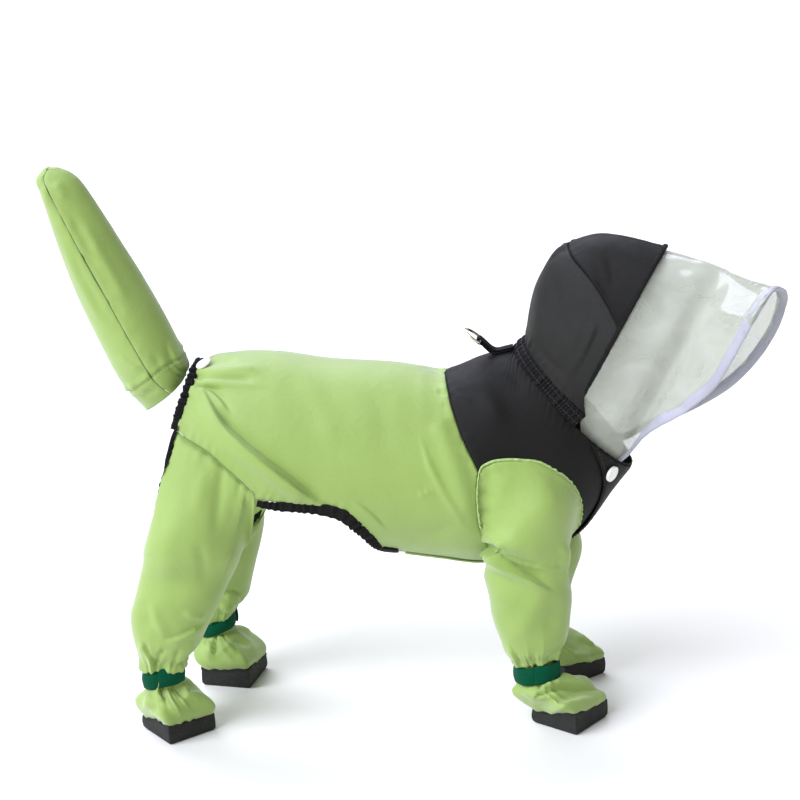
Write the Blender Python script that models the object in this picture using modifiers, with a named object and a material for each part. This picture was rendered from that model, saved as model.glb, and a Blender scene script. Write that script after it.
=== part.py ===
"""Rain suit for a small dog: body, four leg sleeves with boots, hood with clear visor, tail sleeve.

The dog faces +X, +Z is up and -Y is the dog's right.  The origin is inside the back
panel at the middle of the back, where the wearer carries the suit.
Tables and surface functions are in millimetres; meshes are made in metres.
"""
import math

import bmesh
import bpy
import numpy as np
from mathutils import Vector

MM = 0.001
WALL = 1.5              # shell cloth
BOOT_WALL = 2.0         # moulded sole
VISOR_WALL = 1.0        # clear sheet
TRIM_WALL = 1.6         # bindings and edge trim
GAP = 0.35              # room between sewn pieces
LAP = 0.5               # how far a laid-on strip stands off what it lies on
SEAM_ROOM = 0.008       # half of the room at the yoke seam, in rows of the body

FLOOR_Z = -313.0
SOLE_HEIGHT = 16.0
SOLE_SIDE = 46.0
BAND_WIDTH = 12.0       # gathered band at the neck
BINDING_WIDTH = 8.0     # elastic binding of the rear opening and the hind legs
BELLY_BINDING_WIDTH = 11.0
TRIM_WIDTH = 9.0        # edge of the visor
STRAP_WIDTH = 16.0
SNAP_RADIUS = 7.0
RING_WIRE = 1.1
RING_WIDTH = 20.0
RING_DEPTH = 15.0

LEG_COLUMNS = 20        # points round each leg, boot, strap and sole
LEG_GATHERS = 10
NECK_GATHERS = 20


def table(columns, *rows):
    """Rows of values under named columns."""
    names = columns.split()
    return {name: np.array([row[i] for row in rows], float) for i, name in enumerate(names)}


# Sections of the body from the rear opening to the neck: each ring lies in the plane
# through its top and bottom points.
BODY = table(
    "top_x top_z bottom_x bottom_z half_width",
    (-108, 3, -165, -150, 62),
    (-88, 9, -100, -163, 70),
    (-45, 9, -50, -165, 75),
    (0, 1.5, 0, -165, 76),
    (50, -3, 50, -167, 76),
    (78, -8, 90, -173, 76),
    (99, -11, 128, -178, 75),
    (128, 0, 172, -172, 71),
    (146, 5, 210, -152, 64),
    (155, 7, 237, -116, 58),
    (159, 8, 255, -94, 54),
)
NECK_ROW = 10

# Seam of the yoke to the back panel: row that it has at each angle from the spine.
YOKE_SEAM = table(
    "side row",
    (0, 6.0), (35, 6.13), (57, 6.27), (78, 6.47), (97, 6.53), (125, 6.48), (150, 6.3),
    (180, 6.15),
)

# Lower edge of the back panel, as the angle from the spine that it reaches.  The hind
# leg is sewn to the first rows, one column of the leg to each.
HEM = table(
    "row reach",
    (0.0, 63), (0.34, 68), (0.69, 72), (0.93, 75.5), (1.13, 80), (1.36, 86), (1.54, 91),
    (1.67, 95.5), (1.77, 101), (2.1, 103), (2.6, 103), (2.95, 104), (3.3, 108), (3.53, 118),
    (3.75, 133), (3.95, 160), (4.05, 177), (4.3, 179.5), (4.75, 179.5), (5.2, 179.5),
    (5.7, 179.5), (6.15, 179.5),
)
SEWN_ROWS = 9

# Armhole and the free inner rim of the hind leg, traced on the body surface; the angle
# runs round the leg from its front (0) over its outer side (90) and back (180).
ARMHOLE = table(
    "angle row side",
    (0, 8.33, 140), (25, 8.47, 130), (45, 8.53, 117), (62, 8.43, 104), (80, 8.07, 89),
    (95, 7.53, 81), (110, 7.07, 77), (125, 6.73, 76), (140, 6.49, 79), (160, 6.27, 97),
    (180, 6.18, 121), (205, 6.2, 143), (235, 6.5, 156), (270, 7.05, 163),
    (300, 7.7, 160), (330, 8.1, 151),
)
LEG_RIM = table(
    "angle row side",
    (162, 0.0, 84), (180, 0.0, 108), (198, 0.05, 128), (216, 0.20, 144), (234, 0.38, 155),
    (252, 0.59, 161), (270, 0.80, 163), (288, 1.0, 162), (306, 1.17, 158), (324, 1.37, 150),
    (342, 1.6, 134),
)

# Rings of a leg below its hole.  slope_x and slope_y tilt the ring.
FRONT_LEG = table(
    "z back front outer inner slope_x slope_y",
    (-146, 130, 206, -84, -20, 0.45, -1.30),
    (-161, 130, 202, -87, -20, 0.20, -0.92),
    (-178, 128, 203, -80, -21, 0.0, -0.60),
    (-194, 131, 203, -82, -23, 0.0, -0.35),
    (-212, 133, 200, -78, -25, 0.0, -0.20),
    (-231, 139, 197, -76, -27, 0.05, -0.10),
    (-243, 143, 193, -73, -29, 0.10, 0.0),
    (-249, 149, 188, -69, -32, 0.15, 0.0),
    (-254, 153, 186, -66, -34, 0.15, 0.0),
    (-263, 153, 186, -66, -34, 0.15, 0.0),
)
HIND_LEG = table(
    "z back front outer inner slope_x slope_y",
    (-143, -158, -76, -85, -22, 0.0, -0.86),
    (-158, -161, -81, -87, -24, 0.0, -0.53),
    (-172, -166, -87, -82, -26, 0.0, -0.30),
    (-188, -171, -95, -84, -27, 0.0, -0.14),
    (-203, -176, -103, -82, -28, 0.0, -0.05),
    (-218, -176, -111, -81, -29, 0.0, 0.0),
    (-233, -174, -119, -79, -31, 0.0, 0.0),
    (-242, -172, -126, -76, -34, 0.10, 0.0),
    (-245.5, -169, -133, -72, -38, 0.18, 0.0),
    (-249, -168, -137, -70, -40, 0.22, 0.0),
    (-259, -168, -137, -70, -40, 0.24, 0.0),
)
# Each leg: rows used, mirror side, how far the foot is set forward of the table,
# centre of the sole and the turn of the sole in degrees.
LEGS = {
    "front_right": ("front", -1, 0.0, (197, -47), 54),
    "front_left": ("front", 1, 2.0, (196, 48), 130),
    "hind_right": ("hind", -1, 0.0, (-143, -55), 40),
    "hind_left": ("hind", 1, 29.0, (-109, 50), 78),
}

# Hood ribs from the neck band to the face edge: crown on the head's centre line, and
# the two feet.
HOOD = table(
    "crown_x crown_y crown_z near_x near_y near_z far_x far_y far_z",
    (168, 0, 16, 216, -54, -35, 216, 54, -35),
    (172, 0, 40, 215.7, -55, -32.5, 219, 54, -32.5),
    (179, 0, 64, 215.4, -56, -30, 222, 53.5, -30),
    (192, 0, 88, 215.1, -57, -28, 225, 53, -28),
    (208, -3, 99, 214.8, -58, -26, 228, 52.5, -25.5),
    (231, -12, 107, 214.6, -58.7, -23.5, 231, 52, -23),
    (257, -23, 105, 214.3, -59.4, -21.2, 234, 51, -20.5),
    (286, -35, 99, 214, -60, -19, 236, 50, -18),
)
HOOD_SEAM_START = 3.9   # rib where the hood seam crosses the crown
HOOD_SEAM_END = 63.0    # angle where the seam meets the face edge
HOOD_SEAM_POWER = 2.4

# Visor ribs from inside the face edge to the free edge over the muzzle; the feet of the
# second to the fourth are tucked into the neck.
VISOR = table(
    "crown_x crown_y crown_z near_x near_y near_z far_x far_y far_z",
    (282, -32.5, 97, 215, -54.5, -20, 235, 46, -19),
    (297, -39, 95, 213, -44, -55, 216, 45, -55),
    (313, -46, 91, 229, -41, -72, 229, 41, -72),
    (328, -52, 86, 243, -29, -87, 243, 29, -87),
    (341, -57, 82, 267, -50, -53, 270, 18, -71),
    (350, -61, 79, 294, -68, -31, 300, -2, -52),
    (358, -64, 77, 319, -80, -7, 335, -22, -25),
    (365, -67, 75, 331, -86, 14, 358, -32, 2),
    (371, -69, 73.5, 347, -91, 46, 374, -38, 30),
    (374, -70, 73, 358, -90, 64, 379, -47, 50),
)
VISOR_THROAT = 3        # rib where the free edge starts
VISOR_TRIM_ROWS = 0.9   # rows of the visor under its trim at the muzzle

# Tail sleeve rings from the hem to the blunt tip: profile points on the rear (left)
# and front (right) side, and the half width across.
TAIL = table(
    "left_x left_z right_x right_z half_width",
    (-158, -37, -123, -10, 25),
    (-177, -12, -121, 6, 28),
    (-191, 20, -135, 43, 28),
    (-207, 61, -152, 80, 26),
    (-217, 95, -168, 110, 23),
    (-224, 124, -181, 135, 20),
    (-231, 153, -195, 161, 16),
    (-234, 166, -204, 171, 11),
    (-227, 175, -214, 176, 4),
)
# Where the side seam lies between the rear and the front, from the hem to the tip.
TAIL_SEAM = table(
    "row share",
    (0, 0.76), (0.6, 0.62), (1, 0.56), (2, 0.52), (3, 0.50), (4, 0.45), (5, 0.39), (6, 0.31),
    (8, 0.27),
)


# ---------------------------------------------------------------- curves and surfaces

def spline(values, t):
    """Catmull-Rom value at t rows along a column."""
    last = len(values) - 1
    i = int(min(max(math.floor(t), 0), last - 1))
    f = t - i
    p1, p2 = values[i], values[i + 1]
    p0 = values[i - 1] if i > 0 else 2 * p1 - p2
    p3 = values[i + 2] if i + 2 <= last else 2 * p2 - p1
    return 0.5 * (2 * p1 + (p2 - p0) * f + (2 * p0 - 5 * p1 + 4 * p2 - p3) * f * f
                  + (3 * p1 - p0 - 3 * p2 + p3) * f ** 3)


def round_spline(angles, values, angle):
    """Closed cubic through values at rising angles in degrees."""
    a = angle % 360.0
    n = len(angles)
    i = int(np.searchsorted(angles, a, side="right")) - 1
    x1 = angles[i]
    x2 = angles[(i + 1) % n] + (360.0 if i + 1 == n else 0.0)
    x0 = angles[i - 1] - (360.0 if i == 0 else 0.0)
    x3 = angles[(i + 2) % n] + (360.0 if i + 2 >= n else 0.0)
    p0, p1, p2, p3 = (values[(i + k) % n] for k in (-1, 0, 1, 2))
    span = x2 - x1
    m1 = (p2 - p0) / (x2 - x0) * span
    m2 = (p3 - p1) / (x3 - x1) * span
    f = (a - x1) / span
    return ((2 * f ** 3 - 3 * f ** 2 + 1) * p1 + (f ** 3 - 2 * f ** 2 + f) * m1
            + (3 * f ** 2 - 2 * f ** 3) * p2 + (f ** 3 - f ** 2) * m2)


def smooth_step(x):
    x = min(max(x, 0.0), 1.0)
    return x * x * (3 - 2 * x)


def unit(v):
    return v / max(np.linalg.norm(v), 1e-9)


def power(x, p):
    return math.copysign(abs(x) ** p, x)


def moved_out(surface, a, b, out, step=0.02):
    """Point of a surface moved along its normal; positive is to the outside."""
    point = surface(a, b)
    if not out:
        return point
    da = surface(a + step, b) - surface(a - step, b)
    db = surface(a, b + step) - surface(a, b - step)
    return point + out * unit(np.cross(da, db))


def body(row, angle):
    """Body surface: row along the sections, angle in radians from the spine, - is right."""
    top_x, top_z, low_x, low_z, w = (spline(BODY[k], row) for k in BODY)
    mid_x, mid_z = (top_x + low_x) / 2, (top_z + low_z) / 2
    c, s = math.cos(angle), math.sin(angle)
    return np.array([mid_x + (top_x - mid_x) * c, w * s, mid_z + (top_z - mid_z) * c])


# Folds of the body cloth: row and angle at each end, half width in degrees, height.
BODY_FOLDS = table(
    "row_a angle_a row_b angle_b width height",
    (0.2, -30, 2.1, -20, 6, 1.6), (0.2, -38, 2.2, -36, 6, -1.4),
    (0.2, -46, 1.3, -60, 7, 2.0), (1.2, -62, 2.9, -98, 8, 2.6),
    (0.2, 28, 2.0, 24, 6, 1.6), (0.2, 38, 2.1, 40, 6, -1.4),
    (0.2, 48, 1.4, 60, 7, 2.0), (1.3, 60, 2.8, 96, 8, 2.6),
    (4.9, -60, 6.0, -112, 7, 1.6), (4.9, 64, 6.0, 108, 7, 1.6),
)


def fold_height(row, angle):
    """Height of the folds at a place on the body."""
    degrees = math.degrees(angle)
    total = 0.0
    for ra, aa, rb, ab, width, height in zip(*BODY_FOLDS.values()):
        f = (row - ra) / (rb - ra)
        if 0.0 < f < 1.0:
            off = (degrees - (aa + (ab - aa) * f)) / width
            total += height * math.exp(-off * off) * math.sin(math.pi * f) ** 0.6
    return total


def cloth_body(row, angle):
    """Body surface with its folds."""
    return moved_out(body, row, angle, fold_height(row, angle))


def reach(row):
    """Angle in radians where the back panel ends."""
    return math.radians(float(np.interp(row, HEM["row"], HEM["reach"])))


def yoke_seam(angle):
    """Row of the yoke seam at an angle in radians."""
    return float(np.interp(abs(math.degrees(angle)), YOKE_SEAM["side"], YOKE_SEAM["row"]))


def arch(ribs, row, angle, fullness=0.88):
    """Surface of ribs that spring from two feet over a crown; angle from -90 to 90 degrees."""
    v = [spline(ribs[k], row) for k in ribs]
    crown, near, far = np.array(v[0:3]), np.array(v[3:6]), np.array(v[6:9])
    a = math.radians(angle)
    middle = (near + far) / 2
    return (middle + (crown - middle) * power(math.cos(a), fullness)
            + (far - near) / 2 * power(math.sin(a), fullness))


def hood(row, angle):
    return arch(HOOD, row, angle)


def visor(row, angle):
    return arch(VISOR, row, angle)


def hood_seam(angle):
    """Row of the hood seam at an angle."""
    f = min(abs(angle) / HOOD_SEAM_END, 1.0)
    last = len(HOOD["crown_x"]) - 1
    return HOOD_SEAM_START + (last - HOOD_SEAM_START) * f ** HOOD_SEAM_POWER


def tail(row, turn):
    """Tail sleeve: turn from 0 to 180 is the front half, near to far, -180 to 0 the rear."""
    lx, lz, rx, rz, w = (spline(TAIL[k], row) for k in TAIL)
    left, right = np.array([lx, 0, lz]), np.array([rx, 0, rz])
    seam = left + np.interp(row, TAIL_SEAM["row"], TAIL_SEAM["share"]) * (right - left)
    a = math.radians(abs(turn))
    reach_out = (right if turn > 0 else left) - seam
    return seam + reach_out * math.sin(a) ** 1.1 + np.array([0, -w * math.cos(a), 0])


def leg_hole():
    """Rim of the hind leg: sewn to the hem on its outer side, free on its inner side."""
    turn = 360.0 / LEG_COLUMNS
    sewn = [(turn * (SEWN_ROWS - 1 - k), HEM["row"][k], HEM["reach"][k] + (k == 0))
            for k in range(SEWN_ROWS)]
    return table("angle row side", *sorted([*sewn, *zip(*LEG_RIM.values())]))


LEG_HOLE = leg_hole()


def hole_point(hole, angle, out=0.0):
    """Point of an armhole or leg hole on the right of the body, moved out or in."""
    row = round_spline(hole["angle"], hole["row"], angle)
    around = -math.radians(round_spline(hole["angle"], hole["side"], angle))
    return moved_out(body, row, around, fold_height(row, around) + out)


def hole_rim(hole, angle):
    """Point just inside the edge of a hole, where the leg's own cloth starts."""
    here = hole_point(hole, angle)
    along = hole_point(hole, angle + 2.0) - hole_point(hole, angle - 2.0)
    inward = unit(np.cross(hole_point(hole, angle, 1.0) - here, along))
    return here + inward * (GAP + 0.25)


def leg_ring(rings, k, angle, depth):
    """Point of one leg ring of the right side."""
    z, back, front, outer, inner, slope_x, slope_y = (rings[n][k] for n in rings)
    a = math.radians(angle)
    rx, ry = (front - back) / 2, (inner - outer) / 2
    wave = 1.0 + depth * math.cos(LEG_GATHERS * a)
    dx = rx * wave * power(math.cos(a), 0.9)
    dy = -ry * wave * power(math.sin(a), 0.9)
    return np.array([(front + back) / 2 + dx, (outer + inner) / 2 + dy,
                     z + slope_x * dx + slope_y * dy])


GATHER_DEPTH = 0.05     # of the radius at the ankle


def leg_column(kind, side, shift, angle):
    """Points down one column of a leg, from its hole to the strap."""
    hole, rings = (ARMHOLE, FRONT_LEG) if kind == "front" else (LEG_HOLE, HIND_LEG)
    points = [hole_rim(hole, angle)]
    count = len(rings["z"])
    for k in range(count):
        gathered = smooth_step((k - (count - 6)) / 4.0)
        points.append(leg_ring(rings, k, angle, GATHER_DEPTH * gathered))
    low = rings["z"][-1]
    result = []
    for p in points:
        forward = shift * smooth_step((-100.0 - p[2]) / (-100.0 - low))
        result.append(np.array([p[0] + forward, -side * p[1], p[2]]))
    return result


def leg(kind, side, shift):
    """Surface function of a leg: row from 0 at the hole to the last ring, angle in degrees."""
    cache = {}

    def surface(row, angle):
        key = round(angle % 360.0, 3)
        if key not in cache:
            cache[key] = np.array(leg_column(kind, side, shift, angle))
        return spline(cache[key], row)
    return surface


# ---------------------------------------------------------------- making objects

def clear_scene():
    for thing in list(bpy.data.objects):
        bpy.data.objects.remove(thing)


def collection(name):
    group = bpy.data.collections.get(name) or bpy.data.collections.new(name)
    if group.name not in bpy.context.scene.collection.children:
        bpy.context.scene.collection.children.link(group)
    return group


def material(name, colour, roughness, metallic=0.0, alpha=1.0):
    found = bpy.data.materials.get(name)
    if found:
        return found
    made = bpy.data.materials.new(name)
    made.use_nodes = True
    shader = made.node_tree.nodes["Principled BSDF"]
    shader.inputs["Base Color"].default_value = (*colour, 1.0)
    shader.inputs["Roughness"].default_value = roughness
    shader.inputs["Metallic"].default_value = metallic
    shader.inputs["Alpha"].default_value = alpha
    return made


FINISHES = {
    "green": ((0.36, 0.60, 0.15), 0.6), "green_trim": ((0.33, 0.56, 0.13), 0.6),
    "charcoal": ((0.030, 0.031, 0.026), 0.65), "hood_cloth": ((0.045, 0.045, 0.040), 0.65),
    "binding": ((0.012, 0.012, 0.010), 0.8), "clear": ((0.80, 0.84, 0.76), 0.1, 0.0, 0.3),
    "edge_grey": ((0.50, 0.51, 0.52), 0.45), "teal": ((0.0, 0.17, 0.09), 0.8),
    "sole": ((0.030, 0.033, 0.022), 0.75), "snap_white": ((0.85, 0.85, 0.80), 0.3),
    "ring_metal": ((0.80, 0.76, 0.62), 0.25, 1.0), "webbing": ((0.015, 0.015, 0.014), 0.85),
}


def finish(name):
    return material(name, *FINISHES[name])


def mesh_object(name, points, faces, look, group="dog_rain_suit"):
    mesh = bpy.data.meshes.new(name)
    mesh.from_pydata([tuple(np.asarray(p) * MM) for p in points], [], faces)
    mesh.update()
    thing = bpy.data.objects.new(name, mesh)
    if look:
        mesh.materials.append(finish(look))
    mesh.shade_smooth()
    collection(group).objects.link(thing)
    return thing


def grid_faces(rows, columns, closed):
    faces = []
    for i in range(rows - 1):
        for j in range(columns if closed else columns - 1):
            k = (j + 1) % columns
            faces.append((i * columns + j, (i + 1) * columns + j, (i + 1) * columns + k,
                          i * columns + k))
    return faces


def solidify(thing, wall, offset=-1.0, even=False):
    """Turn an open surface into a wall: offset -1 puts it on the inner side, 1 outside."""
    mod = thing.modifiers.new("wall", "SOLIDIFY")
    mod.thickness = wall * MM
    mod.offset = offset
    mod.use_even_offset = even
    mod.use_rim = True
    return thing


def shell(name, points, columns, look, wall, closed=False, flip=False, offset=-1.0):
    """Wall inside a grid of points; rows cross columns points outward unless flipped."""
    rows = len(points) // columns
    faces = grid_faces(rows, columns, closed)
    if flip:
        faces = [face[::-1] for face in faces]
    return solidify(mesh_object(name, points, faces, look), wall, offset)


def cut(thing, cutter):
    """Boolean difference that keeps the cutter as a hidden guide."""
    cutter.hide_render = True
    cutter.display_type = "WIRE"
    mod = thing.modifiers.new("hole", "BOOLEAN")
    mod.operation = "DIFFERENCE"
    mod.solver = "EXACT"
    mod.object = cutter
    return thing


def armhole_cutter(name, side):
    """Closed prism through the body wall along an armhole, with pointed ends."""
    count = LEG_COLUMNS
    mirror = np.array([1.0, -side, 1.0])
    inner = [hole_point(ARMHOLE, 360.0 * j / count, -6.0) * mirror for j in range(count)]
    outer = [hole_point(ARMHOLE, 360.0 * j / count, 5.0) * mirror for j in range(count)]
    middle = sum(outer) / count
    away = unit(np.array([0.0, side * 0.75, -0.66]))
    points = inner + outer + [middle - 40 * away, middle + 30 * away]
    faces = []
    for j in range(count):
        k = (j + 1) % count
        faces.append((j, k, count + k, count + j))
        faces.append((k, j, 2 * count))
        faces.append((count + j, count + k, 2 * count + 1))
    thing = mesh_object(name, points, faces, None, "cutters")
    work = bmesh.new()
    work.from_mesh(thing.data)
    bmesh.ops.recalc_face_normals(work, faces=work.faces)
    work.to_mesh(thing.data)
    work.free()
    return thing


# ---------------------------------------------------------------- body pieces

BODY_COLUMNS = 26
YOKE_ROWS, YOKE_COLUMNS = 8, 28


def make_back_panel(armholes):
    points = []
    for hem_row, hem_reach in zip(HEM["row"], HEM["reach"]):
        for j in range(BODY_COLUMNS + 1):
            across = 2.0 * j / BODY_COLUMNS - 1.0
            row = hem_row / HEM["row"][-1] * (yoke_seam(across * math.pi) - SEAM_ROOM)
            points.append(cloth_body(row, math.radians(hem_reach) * across))
    thing = shell("back_panel", points, BODY_COLUMNS + 1, "green", WALL)
    for cutter in armholes:
        cut(thing, cutter)


def make_yoke(armholes):
    points = []
    for i in range(YOKE_ROWS + 1):
        for j in range(YOKE_COLUMNS):
            angle = 2 * math.pi * (j / YOKE_COLUMNS - 0.5)
            seam = yoke_seam(angle) + SEAM_ROOM
            points.append(body(seam + (NECK_ROW - seam) * i / YOKE_ROWS, angle))
    thing = shell("yoke", points, YOKE_COLUMNS, "charcoal", WALL, closed=True)
    for cutter in armholes:
        cut(thing, cutter)


def body_patch(name, look, wall, edges, columns, out=LAP):
    """Patch laid on the body; edges holds rows with the angles of its two edges."""
    points = []
    for row, first, last in zip(edges["row"], edges["first"], edges["last"]):
        for j in range(columns + 1):
            angle = math.radians(first + (last - first) * j / columns)
            points.append(moved_out(body, row, angle, out))
    return shell(name, points, columns + 1, look, wall, offset=1.0)


# Closure along the chest and belly: a flap whose free edge lies on the dog's right.
CHEST_FLAP = table(
    "row first last",
    (7.5, -192, -166), (7.9, -193, -163), (8.3, -194, -159), (8.7, -195, -153),
    (9.0, -195, -145), (9.3, -196, -133), (9.6, -196, -120), (9.93, -196, -106),
)
BELLY_FLAP = table(
    "row first last",
    (4.25, -188, -153), (4.6, -188, -153), (5.1, -188, -153), (5.6, -188, -154),
    (6.1, -188, -155),
)
BELLY_TAB = table("row first last", (3.86, -152, -143), (3.98, -153, -144), (4.12, -153, -145))


def make_flaps():
    body_patch("chest_flap", "charcoal", 1.2, CHEST_FLAP, 10, out=3 * LAP)
    body_patch("belly_flap", "green_trim", 1.0, BELLY_FLAP, 4, out=2 * LAP)
    body_patch("belly_tab", "binding", 2.2, BELLY_TAB, 2)


def between(path, steps):
    """Straight division of a path of (row, angle) places into more places."""
    result = []
    for (row_a, angle_a), (row_b, angle_b) in zip(path, path[1:]):
        result += [(row_a + (row_b - row_a) * k / steps, angle_a + (angle_b - angle_a) * k / steps)
                   for k in range(steps)]
    return result + [path[-1]]


def edge_band(name, edge, normals, width, gathers, depth, flip=False, room=GAP + 0.1):
    """Gathered binding that carries cloth on past its edge.

    edge holds the points of the cloth's own edge and normals its outward directions;
    rows cross columns points outward unless flipped.
    """
    count, points = len(edge), []
    for i in range(count):
        along = edge[min(i + 1, count - 1)] - edge[max(i - 1, 0)]
        away = unit(np.cross(normals[i], along))
        if flip:
            away = -away
        ripple = depth * math.cos(2 * math.pi * gathers * i / (count - 1))
        points.append(edge[i] + away * room)
        points.append(edge[i] + away * width + normals[i] * ripple)
    return shell(name, points, 2, "binding", TRIM_WALL, flip=flip)


def body_edge(path):
    """Points and normals of the body cloth at places given as (row, angle)."""
    edge = [cloth_body(row, angle) for row, angle in path]
    normals = [unit(moved_out(body, row, angle, 1.0) - body(row, angle)) for row, angle in path]
    return edge, normals


def chords(points, steps):
    """Straight division of a line of points, so that it keeps to the same facets."""
    result = []
    for first, second in zip(points, points[1:]):
        result += [first + (second - first) * (k / steps) for k in range(steps)]
    return result + [points[-1]]


def make_bindings():
    last = math.radians(HEM["reach"][0])
    path = [(0.0, last * (2.0 * j / BODY_COLUMNS - 1.0)) for j in range(1, BODY_COLUMNS)]
    edge, normals = body_edge(path)
    edge_band("rear_binding", chords(edge, 2), chords(normals, 2), BINDING_WIDTH, 24, 0.7)
    rows = [k for k in range(SEWN_ROWS, len(HEM["row"])) if HEM["row"][k] < 4.0]
    for side, word in ((-1, "right"), (1, "left")):
        path = [(HEM["row"][k], side * math.radians(HEM["reach"][k])) for k in rows]
        first = between([(HEM["row"][rows[0] - 1], path[0][1]), path[0]], 2)[1]
        edge, normals = body_edge([first] + path)
        edge_band("belly_binding_" + word, chords(edge, 4), chords(normals, 4),
                  BELLY_BINDING_WIDTH, 14, 0.5, flip=(side < 0))


def ring_frame():
    """Direction in which the neck opening faces."""
    top, low = body(NECK_ROW, 0.0), body(NECK_ROW, math.pi)
    along = unit(low - top)
    return unit(np.cross(along, np.array([0.0, 1.0, 0.0])))


def make_neck_band():
    """Gathered elastic band that joins the hood to the neck edge, open at the throat."""
    facing = ring_frame()
    if facing[0] < 0:
        facing = -facing
    columns, points = NECK_GATHERS * 2, []
    for width, depth in ((GAP, 0.0), (BAND_WIDTH / 2, 0.8), (BAND_WIDTH - GAP, 0.3)):
        for j in range(columns + 1):
            angle = math.radians(-91 + 182 * j / columns)
            ripple = depth * math.cos(2 * math.pi * NECK_GATHERS * j / columns)
            point = body(NECK_ROW, angle)
            outward = unit(point - (body(NECK_ROW, 0.0) + body(NECK_ROW, math.pi)) / 2)
            points.append(point + facing * width + outward * ripple)
    return shell("neck_band", points, columns + 1, "binding", TRIM_WALL)


# ---------------------------------------------------------------- hood and visor

HOOD_STEP = 9.0         # degrees between the columns of the hood


def make_hood():
    last = len(HOOD["crown_x"]) - 1
    angles = [-90.0, -86.0, *(HOOD_STEP * np.arange(-9, 10)), 86.0, 90.0]
    rows, points = 6, []
    for i in range(rows + 1):
        for angle in angles:
            end = hood_seam(angle) - 0.02
            points.append(hood(0.03 + (end - 0.03) * i / rows, angle))
    shell("hood_back", points, len(angles), "hood_cloth", WALL)
    side = HOOD_STEP * np.arange(-6, 7)
    angles = [1.0 - HOOD_SEAM_END, *side, HOOD_SEAM_END - 1.0]
    rows, points = 4, []
    for i in range(rows + 1):
        for angle in angles:
            start = hood_seam(angle) + 0.02
            points.append(hood(start + (last - 0.02 - start) * i / rows, angle))
    shell("hood_top", points, len(angles), "charcoal", WALL)


def make_hood_binding():
    """Narrow binding round the face edge of the hood."""
    last = len(HOOD["crown_x"]) - 1
    angles = [-86.0, *(HOOD_STEP * np.arange(-9, 10)), 86.0]
    points = [moved_out(hood, last - back, angle, LAP) for back in (0.17, 0.0) for angle in angles]
    shell("hood_binding", points, len(angles), "binding", 1.0, offset=1.0)


VISOR_ROWS, VISOR_COLUMNS = 11, 14


def visor_grid():
    """Points of the visor; its outermost columns and its last row are as wide as the trim."""
    last = len(VISOR["crown_x"]) - 1
    rows = [(last - VISOR_TRIM_ROWS) * i / (VISOR_ROWS - 1) for i in range(VISOR_ROWS)] + [last]
    points = []
    for row in rows:
        middle = (visor(row, -90.0) + visor(row, 90.0)) / 2
        height = np.linalg.norm(visor(row, 0.0) - middle)
        corner = 30.0 * smooth_step((row - last + 2.0) / 1.1)
        edge = math.degrees(math.asin(min(TRIM_WIDTH / height, 0.45) ** 1.13))
        inner = 90.0 - max(edge, corner)
        angles = [-90.0, *np.linspace(-inner, inner, VISOR_COLUMNS - 1), 90.0]
        points += [visor(row, angle) for angle in angles]
    return rows, points


def make_visor():
    points = visor_grid()[1]
    shell("visor", points, VISOR_COLUMNS + 1, "clear", VISOR_WALL)


def vertex_normals(points, faces):
    """Outward directions at the points of a faceted surface."""
    normals = np.zeros((len(points), 3))
    for face in faces:
        corners = [points[k] for k in face]
        across = np.cross(corners[2] - corners[0], corners[3] - corners[1])
        for k in face:
            normals[k] += unit(across)
    return [unit(n) for n in normals]


def make_visor_trim():
    """Soft edge laid on the visor's free edge, on the same facets as the visor."""
    rows, points = visor_grid()
    faces = grid_faces(VISOR_ROWS + 1, VISOR_COLUMNS + 1, False)
    normals = vertex_normals(points, faces)
    kept = []
    for number, face in enumerate(faces):
        i, j = divmod(number, VISOR_COLUMNS)
        on_side = j in (0, VISOR_COLUMNS - 1) and rows[i] >= VISOR_THROAT
        if on_side or i == VISOR_ROWS - 1:
            kept.append(face)
    used = sorted({k for face in kept for k in face})
    place = {k: n for n, k in enumerate(used)}
    faces = [tuple(place[k] for k in face) for face in kept]
    spots = [points[k] + normals[k] * LAP for k in used]
    solidify(mesh_object("visor_trim", spots, faces, "edge_grey"), TRIM_WALL, offset=1.0)


# ---------------------------------------------------------------- tail sleeve

TAIL_TURNS = (0.3, 8, 32, 60, 90, 120, 148, 172, 179.7)


def make_tail():
    rows = 10
    last = len(TAIL["left_x"]) - 1
    forward = unit(np.array([0.9, 0.0, 0.43]))
    for name, first, shift in (("tail_front", 0.0, GAP), ("tail_rear", -180.0, -GAP)):
        points = [tail(last * i / rows, first + turn) + forward * shift
                  for i in range(rows + 1) for turn in TAIL_TURNS]
        shell(name, points, len(TAIL_TURNS), "green", WALL, flip=True)


# ---------------------------------------------------------------- legs

LEG_SHOULDER_ROWS = {"front": (), "hind": (0.4, 0.75)}


def make_legs():
    for name, (kind, side, shift, _, _) in LEGS.items():
        surface = leg(kind, side, shift)
        rings = len((FRONT_LEG if kind == "front" else HIND_LEG)["z"])
        rows = [0.0, *LEG_SHOULDER_ROWS[kind], *range(1, rings + 1)]
        points = [surface(row, 360.0 * j / LEG_COLUMNS) for row in rows for j in range(LEG_COLUMNS)]
        shell("leg_" + name, points, LEG_COLUMNS, "green", WALL, closed=True, flip=(side < 0))


def make_leg_bindings():
    """Binding along the inner rim of each hind leg, from the rump round to the belly."""
    for word, side in (("right", -1), ("left", 1)):
        kind, _, shift, _, _ = LEGS["hind_" + word]
        surface = leg(kind, side, shift)
        edge, normals = [], []
        for j in range(SEWN_ROWS, LEG_COLUMNS - 2):
            angle = 360.0 * j / LEG_COLUMNS
            rim = surface(0.0, angle)
            across = surface(0.0, angle + 3.0) - surface(0.0, angle - 3.0)
            edge.append(rim)
            below = surface(LEG_SHOULDER_ROWS[kind][0], angle)
            normals.append(unit(np.cross(across, rim - below)) * side)
        edge_band("leg_binding_" + word, chords(edge, 2), chords(normals, 2), BINDING_WIDTH,
                  10, 0.6, flip=(side < 0), room=3 * GAP)


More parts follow.
